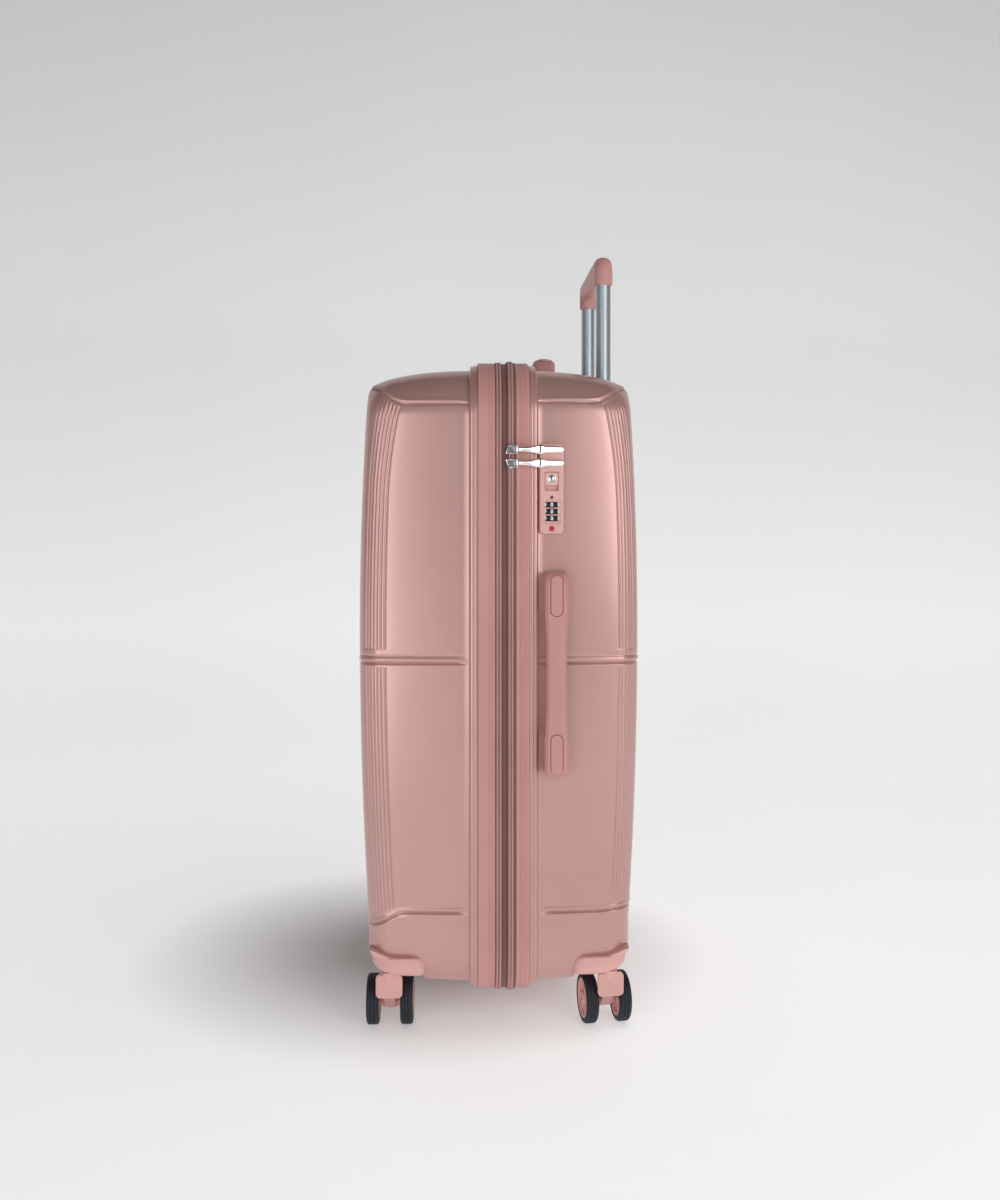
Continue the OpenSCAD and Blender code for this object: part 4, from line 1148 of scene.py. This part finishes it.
for x in np.linspace(GW - leg - 8, 0, 12):
    outer_line.append((x, GT))
    inner_line.append((x, GT - 22 + 0.8 * (1 - (x / (GW - leg - 8)) ** 2)))
outer_line += [(-x, z) for x, z in outer_line[-2::-1]]
inner_line += [(-x, z) for x, z in inner_line[-2::-1]]
points, faces = arch(outer_line, inner_line, (grip_hi[1] - grip_lo[1]) / 2)
parts = [([(grip_cx + x, grip_cy + y, z) for x, y, z in points], faces)]
frame_plate = rounded_outline(grip_cx - 25.5, grip_cy - 7.6, grip_cx + 25.5, grip_cy + 7.6, 7.0, 10)
parts.append(slab(frame_plate, GT - 3.0, GT + 0.35, 0.35, 2, FLAT))
for x in TUBE_XS:
    parts.append(turned([(9.05, GB - 1.2), (10.6, GB - 1.2), (11.0, GB - 0.7), (11.0, GB + 3),
                         (9.05, GB + 3)], (x, TUBE_Y, 0), ALONG_Z, 48))
add_piece("trolley_hand_grip", merged(parts), "grip", "trolley_inner",
          ("trolley_grip",), 35)

but_lo, but_hi = box_mm("trolley_button")
plate = rounded_outline(but_lo[0], but_lo[1], but_hi[0], but_hi[1], 5.2, 10)
parts = [slab(plate, but_lo[2], but_hi[2] - 0.1, 0.8, 4, FLAT)]
for k in range(-4, 5):
    x = (but_lo[0] + but_hi[0]) / 2 + k * 2.6
    parts.append(slab(rounded_outline(x - 0.5, but_lo[1] + 2.6, x + 0.5, but_hi[1] - 2.6, 0.45, 3),
                      but_hi[2] - 0.4, but_hi[2], 0.2, 2, FLAT))
add_piece("trolley_press_button", merged(parts), "black", "button",
          ("trolley_button",))


def tube_profile(r, bore, z0, z1):
    return [(bore, z0), (r - 0.3, z0), (r, z0 + 0.3), (r, z1 - 0.5), (r - 0.5, z1),
            (bore + 0.2, z1), (bore, z1 - 0.3)]


for name, node_name, body, r, bore in (
        ("trolley_inner_pair", "trolley_inner_tubes", "trolley_inner", 9.0, 8.0),
        ("trolley_middle_pair", "trolley_middle_tubes", "trolley_middle", 10.0, 9.06),
        ("trolley_outer_pair", "trolley_outer_tubes", "back_half", 11.0, 10.06)):
    lo, hi = box_mm(node_name)
    parts = [turned(tube_profile(r, bore, lo[2], hi[2]), (x, TUBE_Y, 0), ALONG_Z, 64)
             for x in TUBE_XS]
    add_piece(name, merged(parts), "tube", body, (node_name,))
lo, hi = box_mm("trolley_base")
block = slab(rounded_outline(lo[0], lo[1], hi[0], hi[1], 8, 6), lo[2], hi[2], 1.5, 3, FLAT)
add_piece("trolley_foot_block", block, "black", "back_half", ("trolley_base",))

# Trim strip on the shell's upper back edge, with a collar round each tube
bez_lo, bez_hi = box_mm("trolley_bezel")
sections = []
for d in np.linspace(107.0, 145.0, 26):
    ends = min(d - 107, 145 - d)
    half = (bez_hi[0] - bez_lo[0]) / 2 - rolled(7, ends)
    top = Z1 - float(sag(d)) + 1.2 - 0.9 * (1 - float(smooth(ends / 2.5)))
    row = []
    for k in range(49):
        x = -half + 2 * half * k / 48
        near = min(half - abs(x), 2.0) / 2.0
        row.append((CASE_X + x, d, top - 0.9 * rolled(1, near)))
    under = [(CASE_X - half + 2 * half * k / 48, d, top - 4.0) for k in range(48, -1, -1)]
    sections.append(row + under)
trim = add_piece("trolley_trim", loft(sections), "housing", "back_half",
                 ("trolley_bezel",))
cut_away(trim, [merged(discs(TUBE_XS, TUBE_Y, 10.6))])


# ---------------------------------------------------------------- lock

LOCK_Y, LOCK_Z0, LOCK_Z1, LOCK_W = 57.5, 563.0, 663.0, 27.0
LOCK_FACE = box_mm("lock_housing")[1][0]
DIAL_Z = [(box_mm("lock_dial_%d" % i)[0][2] + box_mm("lock_dial_%d" % i)[1][2]) / 2
          for i in (1, 2, 3)]
DIAL_X = (box_mm("lock_dial_1")[0][0] + box_mm("lock_dial_1")[1][0]) / 2
REL_LO, REL_HI = box_mm("lock_release")
REL_Z = (REL_LO[2] + REL_HI[2]) / 2
TRAVEL = 6.0

plate = rounded_outline(LOCK_Y - LOCK_W / 2, LOCK_Z0, LOCK_Y + LOCK_W / 2, LOCK_Z1, 5.0, 9)
lock = add_piece("lock_plate", slab(plate, SIDE_X - 0.6, LOCK_FACE, 2.2, 6), "housing",
                 "back_half", ("lock_housing",))


def box_part(y0, y1, z0, z1, x0, x1, r):
    """Block with its edges along X rounded."""
    outline = rounded_outline(y0, z0, y1, z1, r, 5)
    return loft([[(x, a, b) for a, b in outline] for x in (x0, x1)])


def round_bar(r, low, high, centre, axis, segments):
    """Plain round cutter between two distances along an axis."""
    return turned([(0.01, low), (r, low), (r, high), (0.01, high)], centre, axis, segments)


dial_field = box_part(LOCK_Y - LOCK_W / 2 + 3.2, LOCK_Y + LOCK_W / 2 - 3.2, DIAL_Z[2] - 6.4,
                      DIAL_Z[0] + 6.4, LOCK_FACE - 0.7, LOCK_FACE + 3, 2.6)
release_well = box_part(LOCK_Y - 7.8, LOCK_Y + 7.8, REL_LO[2] - TRAVEL - 0.5, REL_HI[2] + 0.5,
                        LOCK_FACE - 5.2, LOCK_FACE + 3, 1.6)
reset_hole = round_bar(1.9, 0.0, 12.0, (LOCK_FACE - 6, LOCK_Y, 603.4), ALONG_X, 24)
slots = [box_part(LOCK_Y - 7.3, LOCK_Y + 7.3, z - 3.1, z + 3.1, LOCK_FACE - 7.4, LOCK_FACE + 3,
                  1.1) for z in DIAL_Z]
cut_away(lock, [dial_field, release_well, reset_hole] + slots)
# Inner body behind the wall, with room for the dials
cover = add_piece("lock_inner_cover", box_part(LOCK_Y - 13, LOCK_Y + 13, LOCK_Z0 + 4,
                                               LOCK_Z1 - 4, SIDE_X - 13.5, SIDE_X - 8.0, 3.0),
                  "black", "back_half")
room = [round_bar(12.7, -3.1, 3.1, (DIAL_X, LOCK_Y, z), ALONG_Z, 64) for z in DIAL_Z]
cut_away(cover, room)
cut_away(back_skin, room, 50)

button = slab(rounded_outline(REL_LO[1], REL_LO[2], REL_HI[1], REL_HI[2], 1.4, 5),
              REL_LO[0], REL_HI[0] - 0.1, 0.9, 4)
press = add_piece("lock_release_button", button, "housing", "release",
                  ("lock_release",))
cut_away(press, [round_bar(3.55, 0.0, 12.0, (REL_LO[0] + 1.5, LOCK_Y, REL_Z), ALONG_X, 40)])
deep = REL_HI[0] - REL_LO[0]
ring = [(3.5, 0), (3.5, deep - 0.15), (4.2, deep + 0.05), (4.6, deep - 0.1), (4.6, deep - 1.2)]
add_piece("lock_key_ring", turned(ring, (REL_LO[0], LOCK_Y, REL_Z), ALONG_X, 40), "chrome",
          "release")
key_lo, key_hi = box_mm("lock_key_cylinder")
deep = key_hi[0] - key_lo[0]
plug = [(0.01, 0), (3.25, 0), (3.25, deep - 0.5), (2.7, deep - 0.1), (0.01, deep)]
core = add_piece("lock_key_core", turned(plug, (key_lo[0], LOCK_Y, REL_Z), ALONG_X, 40),
                 "dark_chrome", "key_cylinder", ("lock_key_cylinder",))
cut_away(core, [box_part(LOCK_Y - 0.5, LOCK_Y + 0.5, REL_Z - 2.1, REL_Z + 2.1,
                         key_lo[0] + 1.2, key_hi[0] + 2, 0.4)])


def numeral(text, size, name, origin, facing, up):
    """A raised numeral from Blender's own font, turned to face a direction."""
    curve = bpy.data.curves.new(name, "FONT")
    curve.body = text
    curve.size = size * MM
    curve.extrude = 0.05 * MM
    curve.offset = 0.16 * MM
    curve.align_x = "CENTER"
    curve.align_y = "CENTER"
    curve.resolution_u = 3
    maker = linked_object(name + "_maker", curve)
    depsgraph = bpy.context.evaluated_depsgraph_get()
    mesh = bpy.data.meshes.new_from_object(maker.evaluated_get(depsgraph))
    bpy.data.objects.remove(maker)
    facing, up = Vector(facing).normalized(), Vector(up).normalized()
    right = up.cross(facing)
    return [tuple(Vector(origin) + (right * p.co.x + up * p.co.y + facing * p.co.z) / MM)
            for p in mesh.vertices], [tuple(q.vertices) for q in mesh.polygons]


def dial_mesh(z, r):
    """Number dial with ten flats and a shallow finger notch between each pair."""
    steps, bore = 120, 3.1
    profile = [(-2.7, r - 1.5), (-2.6, r - 0.7), (-2.2, r - 0.25), (-1.5, r), (1.5, r),
               (2.2, r - 0.25), (2.6, r - 0.7), (2.7, r - 1.5), (2.7, bore), (-2.7, bore)]
    rows = []
    for k in range(steps):
        t = 2 * pi * k / steps
        notch = 0.75 * exp(-(((k * 10 / steps) % 1.0 - 0.5) / 0.11) ** 2)
        row = []
        for h, rad in profile:
            rad -= notch * (1.0 if rad > r - 1 else 0.5 if rad > bore else 0.0)
            row.append((DIAL_X + rad * cos(t), LOCK_Y + rad * sin(t), z + h))
        rows.append(row)
    return flat_list(rows), grid_faces(steps, len(profile), True, True)


DIAL_R = 12.0
for i, z in enumerate(DIAL_Z, 1):
    add_piece("code_dial_%d" % i, dial_mesh(z, DIAL_R), "dial", "dial_%d" % i,
              ("lock_dial_%d" % i,))
    marks = []
    for d in range(10):
        t = 2 * pi * d / 10
        out = (cos(t), sin(t), 0)
        at = (DIAL_X + (DIAL_R + 0.03) * out[0], LOCK_Y + (DIAL_R + 0.03) * out[1], z)
        marks.append(numeral(str(d), 6.0, "digit_%d_%d" % (i, d), at, out, ALONG_Z))
    add_piece("code_digits_%d" % i, merged(marks), "digit", "dial_%d" % i,
              smooth_angle=30)

# Index marks beside the dials and a plain round mark
marks = [box_part(LOCK_Y + 8.2, LOCK_Y + 9.8, z - 0.3, z + 0.3, LOCK_FACE - 0.9,
                  LOCK_FACE - 0.62, 0.25) for z in DIAL_Z]
add_piece("lock_index_marks", merged(marks), "digit", "back_half", smooth_angle=30)
dot_z = (LOCK_Z0 + DIAL_Z[2] - 6.4) / 2 + 0.5
mark = turned([(0.01, -0.6), (3.1, -0.6), (3.1, 0.1), (2.8, 0.3), (0.01, 0.42)],
              (LOCK_FACE - 0.1, LOCK_Y, dot_z), ALONG_X, 36)
add_piece("lock_round_mark", mark, "red", "back_half", smooth_angle=30)


# ---------------------------------------------------------------- zip sliders and pulls

def slider_mesh():
    """Slider in its own frame: the zip's plane is x = 0, its pull lies toward +y."""
    body = (arc_points(4.2, 0, 1.3, -50, 50, 4) + [(3.0, 3.2)]
            + arc_points(-2.6, 4.1, 1.7, 60, 150, 5)
            + arc_points(-2.6, -4.1, 1.7, 210, 300, 5) + [(3.0, -3.2)])
    body = [(a * 1.25, b * 1.05) for a, b in body]
    parts = [slab([(b, a) for a, b in body][::-1], 0.0, 3.1, 0.7, 3)]
    for s in (-1, 1):
        path = [(2.2, -3.4, s * 4.0), (4.6, -3.9, s * 4.0), (6.4, -2.6, s * 4.0),
                (7.0, 0.0, s * 4.0), (7.0, 4.5, s * 4.0), (6.6, 7.0, s * 4.0)]
        parts.append(tube_along(path, 1.0, 10))
    parts.append(tube_along([(6.0, 6.5, -4.4), (6.0, 6.5, 4.4)], 0.95, 16))
    return merged(parts)


def pull_mesh(length):
    """Pull with an eye round the pin at the origin, a slender neck, a leaf and a flat bar."""
    parts = [turned([(1.05, -2.5), (2.0, -2.5), (2.3, -2.2), (2.3, 2.2), (2.0, 2.5), (1.05, 2.5)],
                    (0, 0, 0), ALONG_Z, 32)]
    rows = []
    for y in np.concatenate([np.linspace(1.6, 30, 36), np.linspace(31, length, 24)]):
        half = np.interp(y, [0, 3, 8, 14, 24, 28, 32, length - 2, length - 0.5, length],
                         [2.3, 2.3, 2.3, 2.9, 4.9, 4.7, 3.6, 3.2, 2.8, 1.6])
        thick = np.interp(y, [0, 4, 16, 24, length - 2, length], [1.1, 0.95, 1.1, 1.0, 0.9, 0.5])
        bead = 0.35 * exp(-((y - 27.0) / 1.0) ** 2)
        rows.append([(u * (thick + bead), y, w * (half + bead)) for u, w in squircle(16, 0.7, 0.8)])
    parts.append(loft(rows))
    return merged(parts)


def moved(part, at, rows):
    """Turns a part by a 3 by 3 list of rows and moves it."""
    r = np.array(rows, float)
    return (np.asarray(part[0], float) @ r.T + np.array(at)).tolist(), part[1]


SLIDER_X, ZIP_Y, PULL_L = 254.9, 12.3, 52.0
lean = radians(7.5)
leaning = [[cos(lean), -sin(lean), 0], [sin(lean), cos(lean), 0], [0, 0, 1]]
for which, z, flip in (("upper", 656.0, 1), ("lower", 641.0, -1)):
    slider = moved(slider_mesh(), (SLIDER_X, ZIP_Y, z), [[1, 0, 0], [0, 1, 0], [0, 0, flip]])
    add_piece("slider_" + which, slider, "dark_chrome", "slider_" + which,
              ("zip_slider_" + which,))
    pull = moved(pull_mesh(PULL_L), (SLIDER_X + 6, ZIP_Y + 6.5, z), leaning)
    add_piece("pull_" + which, pull, "chrome", "pull_" + which,
              ("zip_pull_" + which,))
exp_at = np.array([CASE_X - 120, -2.0, Z1 + 10.9])
lying = [[0, -1, 0], [0, 0, -1], [1, 0, 0]]
add_piece("expansion_slider_body", moved(slider_mesh(), exp_at, lying), "dark_chrome",
          "expansion_slider", ("expansion_zip_slider",))
add_piece("expansion_pull_tab",
          moved(moved(pull_mesh(32.0), (6, 6.5, 0), np.eye(3)), exp_at, lying), "chrome",
          "expansion_pull", ("expansion_zip_pull",))


# ---------------------------------------------------------------- inside: linings and straps

def lining(name, side, lip_y, radius, end, share, body, node_name):
    """Cloth lining of one half, with soft wrinkles, lifted over the caster housings."""
    cols, n_side, n_top = outline_columns(11.0, 8)
    zc, nx, nz = cols[:, 1], cols[:, 2], cols[:, 3]
    inset0 = 5.4

    def ring(inset, y):
        z = zc - nz * (inset + sag(min(y, FACE_Y - 6)) * nz * nz)
        return np.stack([CASE_X + cols[:, 0] - nx * inset,
                         side * (y + share * bulge(z) * smooth((y - 60) / 40)), z], 1)

    rows = [ring(inset0 - 1.2, lip_y + 0.3), ring(inset0 - 0.2, lip_y + 1.2),
            ring(inset0, lip_y + 3.0)]
    rows += [ring(inset0, y) for y in np.linspace(lip_y + 8, end, 10)]
    for f in np.linspace(0, pi / 2, 9)[1:]:
        rows.append(ring(inset0 + radius * (1 - cos(f)), end + radius * sin(f)))
    n = len(cols)
    verts = np.stack(rows).reshape(-1, 3).tolist()
    faces = grid_faces(len(rows), n, close_cols=True)
    face = face_patch(ring(inset0 + radius + 1.0, end + radius), n_side, n_top)
    join_patch(verts, faces, face, (len(rows) - 1) * n)
    out = []
    for x, y, z in verts:
        p = Vector((x, y, z)) / 100
        soft = noise.noise(p * 1.6) * 1.1 + noise.noise(p * 5.0) * 0.45
        depth = abs(y)
        lean = smooth((depth - lip_y - 3) / 20)
        centre = Vector((CASE_X - x, 0, MID_Z - z))
        if depth > end + radius * 0.7:
            y -= side * (abs(soft) * 0.8 + 0.1)
        else:
            step = centre.normalized() * float((soft * 0.5 + 0.6) * lean)
            x, z = x + step.x, z + step.z
        # Raised over the caster housings
        reach = (smooth((abs(x - CASE_X) - 152) / 13) * smooth((depth - 66) / 13))
        lift = float(HOUSE_TOP + 4.5)
        if reach > 0 and z < lift:
            z = z + (lift - z) * float(reach)
        out.append((x, y, z))
    add_piece(name, (out, faces), "lining", body, (node_name,), 60)


lining("back_cloth_lining", 1, BACK_LIP, 20.0, 96.0, 0.0, "back_half", "back_lining")
lining("front_cloth_lining", -1, FRONT_LIP, 25.0, 117.0, 1.0, "front_half", "front_lining")


def at_strap(points, y, side, turn):
    """Places points given along, across and above a strap that lies at an angle."""
    c, s = cos(radians(turn)), sin(radians(turn))
    return [(CASE_X + p[0] * c - p[1] * s, y - side * p[2], MID_Z + p[0] * s + p[1] * c)
            for p in points]


def strap_ribbon(y, side, turn):
    """Webbing from under the buckle to its sewn end near a corner; side is the opening's side."""
    rows = []
    for d in np.concatenate([np.linspace(16, 286, 90), np.linspace(288, 300, 8)]):
        arch_up = 1.0 * sin(pi * min((d - 16) / 284, 1.0))
        ring = []
        for k in range(13):
            v = -1 + 2 * k / 12
            w = 12.3 - (0.5 if d > 290 else 0)
            rib = 0.12 * sin(v * 26) + 0.08 * sin(d * 3.2)
            ring.append((d, v * w, 0.7 + rib - 0.35 * abs(v) ** 6 + arch_up * 0.3))
        back = [(d, p[1], -0.75) for p in reversed(ring)]
        rows.append(at_strap(ring + back, y, side, turn))
    return loft(rows)


def end_tab(y, side, turn):
    """Sewn patch over a strap's end."""
    points, faces = slab(rounded_outline(268, -15.5, 302, 15.5, 3.0, 5), -1.0, 1.6, 0.5, 2, FLAT)
    return at_strap(points, y, side, turn), faces


STRAP_TURNS = (53, 127, 233, 307)
for half, side, body in HALVES:
    lo, hi = box_mm(half + "_packing_straps")
    strap_y = (lo[1] + hi[1]) / 2
    add_piece(half + "_cross_straps",
              merged([strap_ribbon(strap_y, side, t) for t in STRAP_TURNS]), "strap", body,
              (half + "_packing_straps",), 50)
    add_piece(half + "_strap_tabs", merged([end_tab(strap_y, side, t) for t in STRAP_TURNS]),
              "lining", body, smooth_angle=40)
    lo, hi = box_mm(half + "_strap_buckle")
    top = lo[1] if side > 0 else hi[1]
    outline = rounded_outline(lo[0], lo[2], hi[0], hi[2], 9, 7)
    parts = [slab(outline, lo[1], hi[1], 1.6, 4, FACING_Y),
             turned([(6.0, -0.3), (6.6, 0.35), (11.4, 0.35), (12.0, -0.3)],
                    (CASE_X, top, MID_Z), (0, -side, 0), 48)]
    for s in (-1, 1):
        for k in range(4):
            z = MID_Z + (k - 1.5) * 5
            x = CASE_X + s * 20
            parts.append(slab(rounded_outline(x - 4, z - 0.9, x + 4, z + 0.9, 0.85, 3),
                              top - 0.5, top + 0.5, 0.3, 2, FACING_Y))
    add_piece(half + "_quick_buckle", merged(parts), "black", body,
              (half + "_strap_buckle",))


# ---------------------------------------------------------------- camera, floor and light

scene = bpy.context.scene
camera_data = bpy.data.cameras.new("camera")
camera = linked_object("camera", camera_data)
camera_data.lens = 39.4
camera_data.sensor_width = camera_data.sensor_height = 36.0
camera_data.shift_y = -0.083
CAM_REACH, CAM_HEIGHT, CAM_YAW, CAM_ASIDE = 1.7025, 0.60, radians(1.5), 0.0068
camera.location = (CAM_REACH * cos(CAM_YAW) + CAM_ASIDE * sin(CAM_YAW),
                   -CAM_REACH * sin(CAM_YAW) + CAM_ASIDE * cos(CAM_YAW), CAM_HEIGHT)
camera.rotation_euler = (radians(90), 0, radians(90) - CAM_YAW)
scene.camera = camera

# The floor sweeps up into the backdrop. It glows a little, so that it stays pale: painted light,
# brightest just above the floor and dimmer up the backdrop
backdrop, tree, bsdf = new_material("backdrop_paper")
vec = place(tree)
tree.links.new(ramp(tree, noise_tex(tree, vec, 1.5, 4.0),
                    [(0.3, (0.72, 0.72, 0.72)), (0.7, (0.75, 0.75, 0.75))]),
               bsdf.inputs["Base Color"])
set_inputs(bsdf, {"Roughness": 0.8, "Specular IOR Level": 0.1})
# Painted light: the glow fades with height, standing in for how the lamps light the sweep
height = node(tree, "ShaderNodeSeparateXYZ")
tree.links.new(vec, height.inputs["Vector"])
glow = ramp(tree, maths(tree, "MULTIPLY", height.outputs["Z"], value=0.4),
            [(0.0, (0.52, 0.52, 0.52)), (0.10, (0.56, 0.56, 0.56)), (0.42, (0.34, 0.34, 0.34)),
             (0.85, (0.24, 0.24, 0.24))])
# Glow dimmed round the case: a painted shadow on the floor, which also lets the case's cast shadow
# show
painted_shadow_shift = node(tree, "ShaderNodeVectorMath", {1: (0.06, 0.10, 0.0)}, operation="ADD")
tree.links.new(vec, painted_shadow_shift.inputs[0])
far = node(tree, "ShaderNodeVectorMath", operation="LENGTH")
tree.links.new(painted_shadow_shift.outputs["Vector"], far.inputs[0])
reach = node(tree, "ShaderNodeMapRange", {"From Min": 0.09, "From Max": 0.38, "To Min": 0.12})
tree.links.new(far.outputs["Value"], reach.inputs["Value"])
tree.links.new(reach.outputs["Result"], bsdf.inputs["Emission Strength"])
tree.links.new(glow, bsdf.inputs["Emission Color"])
sweep_profile = [(4.5, 0.0), (-1.2, 0.0)]
sweep_profile += [(-1.2 - 1.2 * sin(t), 1.2 - 1.2 * cos(t))
                  for t in np.linspace(0, pi / 2, 16)[1:]]
sweep_profile += [(-2.4, 5.0)]
mesh = bpy.data.meshes.new("sweep")
mesh.from_pydata([(x, y, z) for x, z in sweep_profile for y in (-6.0, 6.0)], [],
                 [(2 * i, 2 * i + 1, 2 * i + 3, 2 * i + 2) for i in range(len(sweep_profile) - 1)])
for poly in mesh.polygons:
    poly.use_smooth = True
mesh.materials.append(backdrop)
sweep = linked_object("sweep", mesh)


def soft_light(name, at, aim, size, power):
    data = bpy.data.lights.new(name, "AREA")
    data.shape = "RECTANGLE"
    data.size, data.size_y = size
    data.energy = power
    light = linked_object(name, data)
    light.location = at
    light.rotation_euler = (Vector(aim) - Vector(at)).to_track_quat("-Z", "Y").to_euler()
    return light


soft_light("box_left", (1.95, -0.80, 0.50), (0.2, -0.15, 0.42), (0.85, 1.1), 6.5)
soft_light("box_right", (1.75, 0.95, 0.90), (0.2, 0.1, 0.62), (0.95, 1.1), 9.5)
wash = soft_light("floor_wash", (0.4, 1.2, 2.6), (-0.2, 0, 0.0), (1.6, 1.6), 13)
wash.visible_glossy = False
world = bpy.data.worlds.new("studio")
scene.world = world
world.use_nodes = True
tree = world.node_tree
sky = node(tree, "ShaderNodeTexCoord")
parts_of = node(tree, "ShaderNodeSeparateXYZ")
tree.links.new(sky.outputs["Generated"], parts_of.inputs["Vector"])
tree.links.new(ramp(tree, to_range(tree, parts_of.outputs["Z"], 0.0, 1.0),
                    [(0.15, (0.60, 0.60, 0.60)), (0.75, (0.10, 0.10, 0.11))]),
               tree.nodes["Background"].inputs["Color"])
tree.nodes["Background"].inputs["Strength"].default_value = 0.40
scene.view_settings.view_transform = "Standard"
